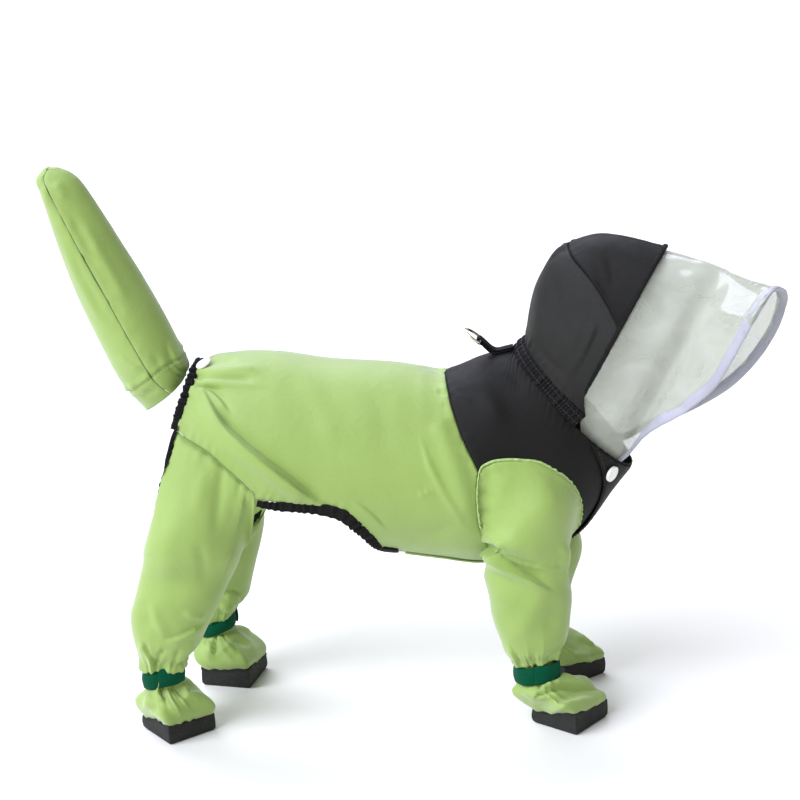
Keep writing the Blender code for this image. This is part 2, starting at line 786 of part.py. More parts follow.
def box_radius(angle, side, power_n=7.0):
    """Distance from the centre to the edge of a rounded square."""
    a = math.radians(angle)
    return side / 2 / (abs(math.cos(a)) ** power_n + abs(math.sin(a)) ** power_n) ** (1 / power_n)


# Boot upper below the strap: height down the boot, share of the way from the ankle's
# outline to the sole's, and how full the gathered cloth is.
BOOT = table(
    "down to_sole fullness",
    (0.0, 0.0, 1.00), (0.25, 0.0, 1.00), (0.42, 0.36, 1.18), (0.58, 0.70, 1.22),
    (0.80, 0.93, 1.17), (1.0, 1.0, 1.0),
)
BOOT_GATHER_DEPTH = 0.05


def foot(name):
    """Ankle outline without gathers, centre and turn of the sole, and the leg's side."""
    kind, side, shift, centre, turn = LEGS[name]
    rings = FRONT_LEG if kind == "front" else HIND_LEG
    ring = []
    for j in range(LEG_COLUMNS):
        point = leg_ring(rings, len(rings["z"]) - 1, 360.0 * j / LEG_COLUMNS, 0.0)
        ring.append(np.array([point[0] + shift, -side * point[1], point[2]]))
    return ring, np.array([centre[0], centre[1], 0.0]), turn, side


def make_boots():
    bottom = FLOOR_Z + SOLE_HEIGHT + 2 * GAP
    for name in LEGS:
        ring, centre, turn, side = foot(name)
        middle = sum(ring) / len(ring)
        points = []
        for down, to_sole, fullness in zip(*BOOT.values()):
            spot = middle + (centre - middle) * smooth_step(down * 1.3 - 0.3)
            depth = BOOT_GATHER_DEPTH * math.sin(math.pi * down)
            for j, ankle in enumerate(ring):
                out = ankle - middle
                a = math.atan2(out[1], out[0])
                radius = math.hypot(out[0], out[1])
                edge = box_radius(math.degrees(a) - turn, SOLE_SIDE)
                size = (radius + (edge - radius) * to_sole) * (fullness + depth * (-1) ** j)
                top = ankle[2] - 2 * GAP
                points.append(np.array([spot[0] + size * math.cos(a), spot[1] + size * math.sin(a),
                                        top + (bottom - top) * down]))
        shell("boot_" + name, points, LEG_COLUMNS, "green", WALL, closed=True, flip=(side < 0))


def make_soles():
    """Moulded cup soles: a square with rounded corners, open at the top."""
    for name in LEGS:
        _, centre, turn, _ = foot(name)
        levels = ((SOLE_HEIGHT, 1.0), (SOLE_HEIGHT * 0.4, 1.01), (0.0, 0.96))
        points = []
        for height, size in levels:
            for j in range(LEG_COLUMNS):
                angle = 360.0 * j / LEG_COLUMNS
                radius = box_radius(angle, SOLE_SIDE) * size
                a = math.radians(angle + turn)
                points.append(centre + np.array([radius * math.cos(a), radius * math.sin(a),
                                                 FLOOR_Z + height]))
        faces = grid_faces(len(levels), LEG_COLUMNS, True)
        base = (len(levels) - 1) * LEG_COLUMNS
        faces.append(tuple(base + j for j in reversed(range(LEG_COLUMNS))))
        solidify(mesh_object("sole_" + name, points, faces, "sole"), BOOT_WALL, even=True)


STRAP_WALL = 1.3


def make_straps():
    """Strap round each ankle over the seam of leg and boot, and its overlapping end."""
    for name in LEGS:
        ring, _, _, side = foot(name)
        middle = sum(ring) / len(ring)
        lift = GAP + STRAP_WALL
        for kind, first, count, height, stand in (
                ("strap", 0, LEG_COLUMNS, STRAP_WIDTH, lift),
                ("strap_end", 1, 4, STRAP_WIDTH + 1.0, 2 * lift)):
            points = []
            for up in (0.5, -0.5):
                for spot in ring[first:first + count]:
                    out = (spot - middle) * np.array([1.0, 1.0, 0.0])
                    size = np.linalg.norm(out) * (1.0 + GATHER_DEPTH) + stand
                    rise = spot[2] - middle[2] + up * height
                    points.append(middle + unit(out) * size + np.array([0.0, 0.0, rise]))
            shell(kind + "_" + name, points, count, "teal", STRAP_WALL, closed=(kind == "strap"),
                  flip=(side < 0))


def disc(name, place, normal, radius, thickness, look):
    """Snap cap: a low round cap whose underside stands clear of the cloth."""
    mesh = bpy.data.meshes.new(name)
    work = bmesh.new()
    bmesh.ops.create_cone(work, cap_ends=True, segments=20, radius1=radius * MM,
                          radius2=radius * 0.86 * MM, depth=thickness * MM)
    work.to_mesh(mesh)
    work.free()
    thing = bpy.data.objects.new(name, mesh)
    mesh.materials.append(finish(look))
    collection("dog_rain_suit").objects.link(thing)
    thing.rotation_mode = "QUATERNION"
    thing.rotation_quaternion = Vector(normal).to_track_quat("Z", "Y")
    thing.location = Vector((place + normal * thickness / 2) * MM)
    return thing


def snap_on_body(name, row, degrees, lift, radius=SNAP_RADIUS):
    """Snap cap on the body, set at the height that its rim needs on the curve."""
    angle = math.radians(degrees)
    here = body(row, angle)
    normal = unit(moved_out(body, row, angle, 1.0) - here)
    sag = 0.0
    for da, db in ((0.3, 0.0), (-0.3, 0.0), (0.0, 0.11), (0.0, -0.11)):
        around = body(row + da * radius / 7, angle + db * radius / 7)
        sag = max(sag, float((around - here) @ normal))
    disc(name, here + normal * (lift + sag), normal, radius, 2.8, "snap_white")


def make_snaps():
    snap_on_body("tail_snap", 0.32, -11.0, LAP + 0.9)
    snap_on_body("chest_snap", 9.5, -137.0, 2 * LAP + 1.2 + 1.2)


# Path of the tail tab, seen from the side: from the tail sleeve under the back panel.
TAIL_TAB = table("x z", (-119.9, -11.0), (-119.4, -6.6), (-116.5, -4.4), (-110.0, -3.8),
                 (-103.0, -2.4), (-96.0, -0.8))
# Outer path of the webbing round the ring's bar, from the neck out and back.
WEBBING = table(
    "x z",
    (157.3, 8.3), (150.0, 6.6), (143.5, 5.1), (138.6, 5.8), (134.6, 9.4), (131.2, 13.0),
    (128.6, 14.0), (127.1, 16.2), (127.9, 18.6), (130.3, 19.0), (132.6, 17.2),
    (136.2, 13.6), (140.2, 9.8), (144.5, 8.2), (150.0, 9.3), (157.3, 10.9),
)


def ribbon(name, path, first_y, last_y, look, wall):
    """Strip with a path in the vertical plane, as wide as from first_y to last_y."""
    points = []
    for x, z in zip(path["x"], path["z"]):
        points += [np.array([x, first_y, z]), np.array([x, last_y, z])]
    return shell(name, points, 2, look, wall)


RING_BAR = (129.6, 16.5)        # x and z of the ring's straight bar
RING_RISE = 38.0                # slope of the ring above level, in degrees


def make_ring():
    """D-ring for a lead, held by a loop of webbing at the back of the neck."""
    ribbon("ring_webbing", WEBBING, -5.0, 5.0, "webbing", 1.0)
    curve = bpy.data.curves.new("d_ring", "CURVE")
    curve.dimensions = "3D"
    curve.bevel_depth = RING_WIRE * MM
    curve.bevel_resolution = 2
    route = [(0.0, -RING_WIDTH / 2), (0.0, RING_WIDTH / 2)]
    for i in range(1, 16):
        a = math.pi * i / 16
        route.append((RING_DEPTH * math.sin(a) ** 0.8, RING_WIDTH / 2 * math.cos(a)))
    spline_data = curve.splines.new("POLY")
    spline_data.points.add(len(route) - 1)
    rise = math.radians(RING_RISE)
    for point, (out, y) in zip(spline_data.points, route):
        x = RING_BAR[0] - out * math.cos(rise)
        z = RING_BAR[1] + out * math.sin(rise)
        point.co = (x * MM, y * MM, z * MM, 1.0)
    spline_data.use_cyclic_u = True
    curve.materials.append(finish("ring_metal"))
    thing = bpy.data.objects.new("d_ring", curve)
    collection("dog_rain_suit").objects.link(thing)


def main():
    clear_scene()
    armholes = [armhole_cutter("armhole_right", -1), armhole_cutter("armhole_left", 1)]
    make_back_panel(armholes)
    make_yoke(armholes)
    make_flaps()
    make_bindings()
    make_neck_band()
    make_hood()
    make_hood_binding()
    make_visor()
    make_visor_trim()
    make_tail()
    ribbon("tail_tab", TAIL_TAB, -15.0, 3.0, "green_trim", 1.2)
    make_legs()
    make_leg_bindings()
    make_boots()
    make_soles()
    make_straps()
    make_snaps()
    make_ring()


main()
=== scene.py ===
"""Detailed looks of the dog rain suit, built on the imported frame.

Tables and surface functions are in millimetres; meshes are made in metres.
The dog faces +X, +Z is up and -Y is the dog's right, which the camera sees.
"""
import math
from contextlib import contextmanager

import bmesh
import bpy
import numpy as np
from mathutils import Matrix, Vector


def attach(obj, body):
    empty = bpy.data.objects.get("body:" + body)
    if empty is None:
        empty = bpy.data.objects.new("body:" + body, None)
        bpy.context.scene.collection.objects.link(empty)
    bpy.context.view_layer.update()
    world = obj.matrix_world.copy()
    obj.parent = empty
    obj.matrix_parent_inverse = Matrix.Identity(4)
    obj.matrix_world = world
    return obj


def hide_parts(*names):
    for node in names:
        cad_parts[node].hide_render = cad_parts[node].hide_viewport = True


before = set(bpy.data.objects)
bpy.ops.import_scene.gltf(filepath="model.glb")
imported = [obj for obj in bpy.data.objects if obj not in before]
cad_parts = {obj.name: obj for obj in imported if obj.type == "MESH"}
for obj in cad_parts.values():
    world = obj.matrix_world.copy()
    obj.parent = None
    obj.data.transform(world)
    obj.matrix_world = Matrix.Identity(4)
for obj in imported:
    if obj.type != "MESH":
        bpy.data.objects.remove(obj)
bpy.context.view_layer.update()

MM = 0.001
CLOTH = 0.7             # thickness of the shell cloth as it shows
SHEET = 0.6             # clear visor
GAP = 0.35              # room between pieces at a seam
LAP = 0.5               # height of one layer laid on another
SEAM_ROOM = 0.008       # part of a body row left free on each side of a seam

FLOOR_Z = -313.0
SOLE_HEIGHT = 16.0
SOLE_SIDE = 46.0
BAND_WIDTH = 12.0
BINDING_WIDTH = 8.0
BELLY_BINDING_WIDTH = 11.0
TRIM_WIDTH = 9.0
STRAP_WIDTH = 16.0
SNAP_RADIUS = 7.0
RING_WIRE = 1.1
RING_WIDTH = 20.0
RING_DEPTH = 15.0

# Camera: turn and rise round the target, roll, distance and millimetres a pixel there.
CAMERA_TURN, CAMERA_RISE, CAMERA_ROLL = 5.0, 18.0, 3.0
CAMERA_DISTANCE = 1900.0
CAMERA_SCALE = 0.85
CAMERA_TARGET = np.array([60.0, 0.0, -35.0])


def table(columns, *rows):
    """Rows of values under named columns."""
    names = columns.split()
    return {name: np.array([row[i] for row in rows], float) for i, name in enumerate(names)}


BODY = table(
    "top_x top_z bottom_x bottom_z half_width",
    (-108, 3, -165, -150, 62), (-88, 9, -100, -163, 70), (-45, 9, -50, -165, 75),
    (0, 1.5, 0, -165, 76), (50, -3, 50, -167, 76), (78, -8, 90, -173, 76),
    (99, -11, 128, -178, 75), (128, 0, 172, -172, 71), (146, 5, 210, -152, 64),
    (155, 7, 237, -116, 58), (159, 8, 255, -94, 54),
)
NECK_ROW = 10           # last row of the body
YOKE_SEAM = table(
    "side row",
    (0, 6.0), (35, 6.13), (57, 6.27), (78, 6.47), (97, 6.53), (125, 6.48), (150, 6.3),
    (180, 6.15),
)
HEM = table(
    "row reach",
    (0.0, 63), (0.34, 68), (0.69, 72), (0.93, 75.5), (1.13, 80), (1.36, 86), (1.54, 91),
    (1.67, 95.5), (1.77, 101), (2.1, 103), (2.6, 103), (2.95, 104), (3.3, 108), (3.53, 118),
    (3.75, 133), (3.95, 160), (4.05, 177), (4.3, 179.5), (4.75, 179.5), (5.2, 179.5),
    (5.7, 179.5), (6.15, 179.5),
)
SEWN_ROWS = 9           # first rows of the hem, sewn to the hind leg
SEWN_TURN = 18.0        # degrees of the leg hole to one sewn row
ARMHOLE = table(
    "angle row side",
    (0, 8.33, 140), (25, 8.47, 130), (45, 8.53, 117), (62, 8.43, 104), (80, 8.07, 89),
    (95, 7.53, 81), (110, 7.07, 77), (125, 6.73, 76), (140, 6.49, 79), (160, 6.27, 97),
    (180, 6.18, 121), (205, 6.2, 143), (235, 6.5, 156), (270, 7.05, 163),
    (300, 7.7, 160), (330, 8.1, 151),
)
LEG_RIM = table(
    "angle row side",
    (162, 0.0, 84), (180, 0.0, 108), (198, 0.05, 128), (216, 0.20, 144), (234, 0.38, 155),
    (252, 0.59, 161), (270, 0.80, 163), (288, 1.0, 162), (306, 1.17, 158), (324, 1.37, 150),
    (342, 1.6, 134),
)
FRONT_LEG = table(
    "z back front outer inner slope_x slope_y",
    (-146, 130, 206, -84, -20, 0.45, -1.30), (-161, 130, 202, -87, -20, 0.20, -0.92),
    (-178, 128, 203, -80, -21, 0.0, -0.60), (-194, 131, 203, -82, -23, 0.0, -0.35),
    (-212, 133, 200, -78, -25, 0.0, -0.20), (-231, 139, 197, -76, -27, 0.05, -0.10),
    (-243, 143, 193, -73, -29, 0.10, 0.0), (-249, 149, 188, -69, -32, 0.15, 0.0),
    (-254, 153, 186, -66, -34, 0.15, 0.0), (-263, 153, 186, -66, -34, 0.15, 0.0),
)
HIND_LEG = table(
    "z back front outer inner slope_x slope_y",
    (-143, -158, -76, -85, -22, 0.0, -0.86), (-158, -161, -81, -87, -24, 0.0, -0.53),
    (-172, -166, -87, -82, -26, 0.0, -0.30), (-188, -171, -95, -84, -27, 0.0, -0.14),
    (-203, -176, -103, -82, -28, 0.0, -0.05), (-218, -176, -111, -81, -29, 0.0, 0.0),
    (-233, -174, -119, -79, -31, 0.0, 0.0), (-242, -172, -126, -76, -34, 0.10, 0.0),
    (-245.5, -169, -133, -72, -38, 0.18, 0.0), (-249, -168, -137, -70, -40, 0.22, 0.0),
    (-259, -168, -137, -70, -40, 0.24, 0.0),
)
# Each leg: rows used, mirror side, how far the foot is set forward, centre of the sole and
# its turn in degrees.
LEGS = {
    "front_right": ("front", -1, 0.0, (197, -47), 54),
    "front_left": ("front", 1, 2.0, (196, 48), 130),
    "hind_right": ("hind", -1, 0.0, (-143, -55), 40),
    "hind_left": ("hind", 1, 29.0, (-109, 50), 78),
}
HOOD = table(
    "crown_x crown_y crown_z near_x near_y near_z far_x far_y far_z",
    (168, 0, 16, 216, -54, -35, 216, 54, -35), (172, 0, 40, 215.7, -55, -32.5, 219, 54, -32.5),
    (179, 0, 64, 215.4, -56, -30, 222, 53.5, -30), (192, 0, 88, 215.1, -57, -28, 225, 53, -28),
    (208, -3, 99, 214.8, -58, -26, 228, 52.5, -25.5),
    (231, -12, 107, 214.6, -58.7, -23.5, 231, 52, -23),
    (257, -23, 105, 214.3, -59.4, -21.2, 234, 51, -20.5),
    (286, -35, 99, 214, -60, -19, 236, 50, -18),
)
# Curved seam of the hood: row at the crown, degrees where it meets the face edge, curve.
HOOD_SEAM_START, HOOD_SEAM_END, HOOD_SEAM_POWER = 3.9, 63.0, 2.4
VISOR = table(
    "crown_x crown_y crown_z near_x near_y near_z far_x far_y far_z",
    (282, -32.5, 97, 215, -54.5, -20, 235, 46, -19), (297, -39, 95, 213, -44, -55, 216, 45, -55),
    (313, -46, 91, 229, -41, -72, 229, 41, -72), (328, -52, 86, 243, -29, -87, 243, 29, -87),
    (341, -57, 82, 267, -50, -53, 270, 18, -71), (350, -61, 79, 294, -68, -31, 300, -2, -52),
    (358, -64, 77, 319, -80, -7, 335, -22, -25), (365, -67, 75, 331, -86, 14, 358, -32, 2),
    (371, -69, 73.5, 347, -91, 46, 374, -38, 30), (374, -70, 73, 358, -90, 64, 379, -47, 50),
)
VISOR_THROAT = 3        # rib under the chin, where the visor's two feet meet
TAIL = table(
    "left_x left_z right_x right_z half_width",
    (-158, -37, -123, -10, 25), (-177, -12, -121, 6, 28), (-191, 20, -135, 43, 28),
    (-207, 61, -152, 80, 26), (-217, 95, -168, 110, 23), (-224, 124, -181, 135, 20),
    (-231, 153, -195, 161, 16), (-234, 166, -204, 171, 11), (-227, 175, -214, 176, 4),
)
TAIL_SEAM = table(
    "row share",
    (0, 0.76), (0.6, 0.62), (1, 0.56), (2, 0.52), (3, 0.50), (4, 0.45), (5, 0.39), (6, 0.31),
    (8, 0.27),
)
BODY_FOLDS = table(
    "row_a angle_a row_b angle_b width height",
    (0.2, -30, 2.1, -20, 6, 1.6), (0.2, -38, 2.2, -36, 6, -1.4),
    (0.2, -46, 1.3, -60, 7, 2.0), (1.2, -62, 2.9, -98, 8, 2.6),
    (0.2, 28, 2.0, 24, 6, 1.6), (0.2, 38, 2.1, 40, 6, -1.4),
    (0.2, 48, 1.4, 60, 7, 2.0), (1.3, 60, 2.8, 96, 8, 2.6),
    (4.9, -60, 6.0, -112, 7, 1.6), (4.9, 64, 6.0, 108, 7, 1.6),
)
CHEST_FLAP = table(
    "row first last",
    (7.5, -192, -166), (7.9, -193, -163), (8.3, -194, -159), (8.7, -195, -153),
    (9.0, -195, -145), (9.3, -196, -133), (9.6, -196, -120), (9.93, -196, -106),
)
BELLY_FLAP = table(
    "row first last",
    (4.25, -188, -153), (4.6, -188, -153), (5.1, -188, -153), (5.6, -188, -154),
    (6.1, -188, -155),
)
BELLY_TAB = table("row first last", (3.86, -152, -143), (3.98, -153, -144), (4.12, -153, -145))
BOOT = table(
    "down to_sole fullness",
    (0.0, 0.0, 1.00), (0.25, 0.0, 1.00), (0.42, 0.36, 1.18), (0.58, 0.70, 1.22),
    (0.80, 0.93, 1.17), (1.0, 1.0, 1.0),
)
TAIL_TAB = table("x z", (-119.9, -11.0), (-119.4, -6.6), (-116.5, -4.4), (-110.0, -3.8),
                 (-103.0, -2.4), (-96.0, -0.8))
WEBBING = table(
    "x z",
    (157.3, 8.3), (150.0, 6.6), (143.5, 5.1), (138.6, 5.8), (134.6, 9.4), (131.2, 13.0),
    (128.6, 14.0), (127.1, 16.2), (127.9, 18.6), (130.3, 19.0), (132.6, 17.2),
    (136.2, 13.6), (140.2, 9.8), (144.5, 8.2), (150.0, 9.3), (157.3, 10.9),
)
RING_BAR = (129.6, 16.5)    # x and z of the ring's straight bar
RING_RISE = 38.0        # degrees that the ring stands up

CREASE_DEPTH = 1.25     # how deep the creases below are worked
# Creases placed in the photograph's frame, for the side that the camera sees (near)
# and, through the camera's mirror image in the suit's middle plane, for the other side (far).
# Each line: kind, height in mm, width in pixels, ends that stay full (a, b, ab or - for none)
# and the path. A fold stands up on the right of its path and drops to a trough on the left.
CREASES = {
    "back_panel near": """
    fold 2 4.5 a 195,388 206,390 215,396 224,406 231,417
    fold 4.8 6.5 - 198,384 206,397 219,420 236,437 252,451 278,471 300,488 322,505 344,522
    ridge 1.8 8 b 205,418 222,438 242,456 268,476 296,496
    groove 1.2 9 - 232,424 252,440 280,461 306,482
    ridge 1.5 4 a 198,383 222,384 248,386 272,388
    groove 1.5 3 a 198,377.5 215,377 240,378 262,377
    ridge 1.4 3.5 a 199,372 215,370 240,368 262,367
    groove 1.2 2.6 a 199,387.5 210,388 226,391
    groove 1 3 a 203,364 220,361 240,360
    groove 0.9 4 b 416,364 428,368 443,375
    groove 0.8 3 b 436,391 443,393 449,396
    groove 0.8 3 b 440,405 447,406 452,408
    groove 2 8 ab 455,424 464,446 472,470 480,495 483,525
    ridge 1.4 9 ab 440,430 449,455 458,480 466,505
    fold 0.9 3 - 417,493 425,491 437,487
    fold 1 4 - 352,500 371,514 388,532
    ridge 0.8 12 - 300,372 322,410 338,455
    groove 0.7 12 - 372,380 382,420 385,465
    groove 0.8 6 - 400,540 430,535 462,522
    """,
    "back_panel far": """
    fold 2.2 5 a 196,388 210,391 222,399 229,411
    fold 3.8 6.5 b 208,404 222,425 240,443 262,462 290,484 316,502
    ridge 1.5 8 - 204,408 220,428 240,455
    ridge 1.4 4 a 199,380 224,380 255,384
    groove 1.4 3 a 199,374 218,372 246,373
    groove 1.8 8 ab 452,420 461,444 470,470 478,498
    ridge 1.2 9 ab 438,428 446,456 455,484
    fold 1.4 6 - 330,430 352,462 380,490 410,505
    ridge 1 10 - 290,390 300,430 296,468
    groove 1 7 - 372,400 390,440 394,480
    fold 1 4 - 350,505 372,520 392,540
    """,
    "yoke near": """
    groove 1.4 5 a 538,366 549,385 561,403 571,420 576,438
    ridge 1.2 5 a 545,364 557,384 571,404 584,424 592,446
    groove 1 4 a 573,405 588,421 600,440 604,462
    ridge 0.9 9 - 472,372 490,400 502,432
    groove 0.9 6 - 500,350 512,372 527,394
    fold 0.8 3.5 - 452,392 463,396 478,404
    """,
    "yoke far": """
    groove 1.4 5 a 540,366 552,388 563,410 570,430
    ridge 1.2 6 a 548,366 562,390 576,412 586,436
    ridge 0.9 9 - 474,376 494,404 500,436
    fold 0.9 4 - 455,400 468,407 486,412
    """,
    "chest_flap near": """
    groove 0.5 2 ab 617,452 606,478 594,500
    """,
    "hood_back near": """
    ridge 1.4 7 - 545,268 541,292 538,318 540,342
    groove 1.1 6 - 556,262 556,290 560,318 568,346
    fold 1.3 4 a 594,333 586,350 577,366 567,380
    ridge 0.9 5 - 578,320 576,340 568,360
    groove 1 4 - 532,330 540,350 556,368 570,378
    fold 1.2 4 a 566,246 556,252 547,262
    """,
    "hood_back far": """
    ridge 1.4 7 - 548,270 546,300 552,330
    groove 1.2 6 - 562,262 566,294 574,326
    fold 1.3 5 a 594,333 584,352 570,370
    """,
    "hood_top near": """
    fold 1.4 3.5 b 604,233 622,236 642,241.5 662,248
    ridge 1 6 - 582,252 592,276 602,300
    groove 1 5 - 604,250 612,272 614,292
    fold 1 4 b 603,300 604,316 602,330
    """,
    "hood_top far": """
    fold 1.2 4 b 606,236 626,242 650,250
    groove 1 6 - 600,256 612,280 616,300
    """,
    "visor near": """
    fold 1.3 5 - 690,258 706,262 724,270 744,280
    ridge 1.5 10 - 640,300 668,330 690,370
    groove 1.4 8 - 655,280 690,300 724,332
    fold 1.2 4 a 600,410 618,404 640,398 664,388
    fold 1.2 4 a 618,436 636,424 656,412
    ridge 1 5 b 700,300 724,312 752,318
    groove 1 4 - 690,386 704,368 712,345
    """,
    "visor far": """
    ridge 1.3 10 - 640,310 664,340 680,370
    groove 1.2 8 - 660,290 690,312 714,340
    """,
    "tail_front near": """
    ridge 1.4 6 - 76,214 96,248 116,282 134,318
    groove 1.1 5 - 66,206 82,234 98,262
    groove 0.7 3 a 82,257 90,260 99,270
    groove 0.7 3 a 107,302 114,305 124,318
    fold 1.4 3.5 a 187,371 178,364 171,352 168,338
    fold 1.2 3 a 187,376 177,371 168,362
    groove 1 4 - 150,352 158,362 161,374
    ridge 0.9 5 - 52,182 60,190 64,204
    """,
    "tail_front far": """
    ridge 1.3 6 - 80,220 102,256 122,292
    fold 1.3 4 a 186,372 174,360 166,342
    groove 1.2 4 - 140,330 150,350 152,368
    """,
    "tail_rear near": """
    groove 1 4 - 70,250 82,276 96,300 106,322
    ridge 1 4 - 60,236 74,268 92,304 112,338
    fold 1 3 - 118,352 130,362 143,369
    groove 0.9 3 - 142,396 150,392 158,393
    ridge 1 4 - 44,182 46,196 50,210
    """,
    "tail_rear far": """
    groove 1 4 - 72,250 90,290 108,324
    fold 1 3 - 116,350 130,362 142,368
    """,
    "leg_front_right near": """
    fold 5.6 4 a 480,548 489,555 502,563.5 516,571 532,579.5 544,586.5 556,594
    groove 2.6 8 a 497,553 512,561 530,569 552,580
    ridge 2 9 a 499,539 515,545 535,551 556,560
    fold 1.6 2.4 - 500,556 514,562 533,566 552,568 568,566
    groove 2.2 2.6 a 483,544 491,546.5 498,552 500,558
    ridge 2.2 3 a 482,541 492,541 500,545 505,552
    fold 1.4 3.5 a 569,551 571,562 567,577 573,590
    ridge 1.5 4 - 562,540 566,556 563,572
    ridge 1.6 11 - 552,590 536,606 524,626 520,645
    groove 1.3 8 - 560,600 552,620 549,640
    fold 1.6 3 b 507,645 514,655 521,668
    groove 2.4 3 b 566,643 557,651 549,660
    fold 1.4 3 b 571,640 563,650 553,658
    groove 1.6 2.2 b 530,656 530,667
    groove 1.4 2.2 b 537,658 535,668
    ridge 1 9 - 508,470 500,492 498,520
    groove 0.9 7 - 552,474 562,496 566,520
    groove 1.5 3 a 480,492 487,494 494,500
    groove 1.3 3 a 481,512 488,512 494,516
    fold 1.2 3 a 483,527 490,531 496,540
    """,
    "leg_front_right far": """
    fold 2.2 5 - 494,556 515,563 540,570 560,575
    ridge 1.4 8 - 548,592 534,612 524,636
    groove 1.6 4 b 560,640 552,652 548,662
    """,
    "leg_front_left near": """
    fold 1.6 4 - 572,600 582,612 584,628
    groove 1.4 3 - 566,560 574,580 577,604
    """,
    "leg_front_left far": """
    fold 3.6 4 a 484,553 504,562 522,572 542,581 560,586
    groove 3 9 a 490,548 514,560 544,572
    ridge 2.2 8 a 488,542 512,547 546,556
    ridge 1.5 10 - 546,596 532,616 526,640
    fold 1.5 3 b 510,642 517,653 524,664
    groove 2 3 b 566,640 556,650 549,660
    ridge 1 9 - 512,472 503,496 500,522
    groove 0.9 7 - 550,476 560,500 564,526
    """,
    "leg_hind_right near": """
    groove 1.8 6 a 222,474 220,492 217,516 216,540
    ridge 1.2 8 - 205,468 200,492 196,520
    ridge 1.8 3.5 - 181,613 195,616 207,618
    fold 1.8 4 b 160,641 175,639 186,635 196,629
    fold 2.2 3 b 141,641 146,651 153,663
    groove 2.4 2.6 b 165,647 160,655 158,663
    ridge 1.4 5 - 150,600 158,622 170,640
    groove 1.4 7 - 140,596 146,614 150,632
    fold 1.5 4 a 243,505 236,530 228,556 217,586
    groove 1.3 6 - 196,540 203,562 203,590
    ridge 1.2 12 - 170,520 166,556 172,592
    groove 1.6 3 b 180,646 176,655 173,663
    fold 1.4 3 b 196,640 189,650 181,660
    groove 1 3 a 204,452 207,459 208,468
    groove 0.9 3 a 240,478 240,486 237,494
    """,
    "leg_hind_right far": """
    fold 1.8 4 - 170,560 186,574 204,582
    ridge 1.6 6 - 160,600 174,620 190,630
    groove 2 3 b 168,640 164,652 162,662
    """,
    "leg_hind_left near": """
    fold 2.6 4 - 222,596 234,594 246,600
    ridge 2.4 4 - 218,606 228,608 240,618
    groove 2.2 3.5 - 226,592 240,598 248,606
    groove 2.2 3 b 216,614 222,621 232,628
    """,
    "leg_hind_left far": """
    groove 1.6 6 a 224,476 224,496 228,520
    ridge 1.2 9 - 206,472 202,500 204,530
    fold 1.8 4 - 188,606 204,614 220,616
    fold 1.6 4 b 178,632 194,636 212,630
    groove 2.2 3 b 196,642 192,652 190,662
    ridge 1.2 11 - 184,530 184,566 194,596
    groove 1.3 7 - 214,540 222,566 224,590
    """,
    "boot_front_right near": """
    fold 4.6 4 - 607,687 592,686 578,687 562,686 548,688 538,693 531,702
    fold 3.6 3.5 a 553,678 566,680 582,681 598,684
    ridge 2.6 4 - 540,714 553,710 570,703.5 586,700 602,699
    groove 2.4 5 - 533,706 550,701 568,696 590,694
    groove 1.8 2.5 a 538,683 540,690 538,697
    """,
    "boot_front_right far": """
    fold 2.4 4 - 598,690 578,690 558,694 542,702
    ridge 1.6 4 - 556,708 576,703 592,703
    """,
    "boot_front_left near": """
    fold 1.6 3 - 596,648 588,640 578,636
    ridge 1.4 4 - 574,650 584,656 592,656
    """,
    "boot_front_left far": """
    fold 2.6 4 - 600,688 582,688 562,690 544,698
    ridge 1.8 4 - 556,708 574,704 592,702
    """,
    "boot_hind_right near": """
    fold 2.6 2.8 a 160,682 159,691 161,697 165,701
    groove 1.8 4 - 161,698 156,706 150,712
    ridge 2.4 3 a 176,679 184,686 187,694 194,694 203,696
    groove 2.2 3 a 170,681 174,688 181,694 186,698
    groove 1.8 3 a 188,681 194,686 199,690
    ridge 1.8 4 - 150,690 147,702 144,713
    ridge 1.4 5 - 166,702 176,708 190,708
    """,
    "boot_hind_right far": """
    fold 2.2 3 a 172,680 174,690 180,698
    ridge 1.6 4 - 156,696 154,708
    """,
    "boot_hind_left near": """
    fold 2.4 3 a 214,638 213,648 213,656
    ridge 2 3 - 214,656 222,650 228,646 230,640
    fold 1.8 3 a 222,637 230,646 238,655
    ridge 1.6 4 - 206,640 208,652 211,664
    groove 1.6 3 - 232,640 242,642 252,648
    """,
    "boot_hind_left far": """
    fold 2.2 3 a 198,680 196,690 200,700
    ridge 1.8 4 - 214,684 222,694 232,698
    """,
}


# ---------------------------------------------------------------- curves and surfaces

def spline(values, t):
    """Catmull-Rom values at t rows along the first axis."""
    values, t = np.asarray(values, float), np.asarray(t, float)
    last = len(values) - 1
    i = np.clip(np.floor(t).astype(int), 0, last - 1)
    shape = t.shape + (1,) * (values.ndim - 1)
    f = (t - i).reshape(shape)
    p1, p2 = values[i], values[i + 1]
    p0 = np.where((i == 0).reshape(shape), 2 * p1 - p2, values[np.maximum(i - 1, 0)])
    p3 = np.where((i + 2 > last).reshape(shape), 2 * p2 - p1, values[np.minimum(i + 2, last)])
    return 0.5 * (2 * p1 + (p2 - p0) * f + (2 * p0 - 5 * p1 + 4 * p2 - p3) * f * f
                  + (3 * p1 - p0 - 3 * p2 + p3) * f ** 3)


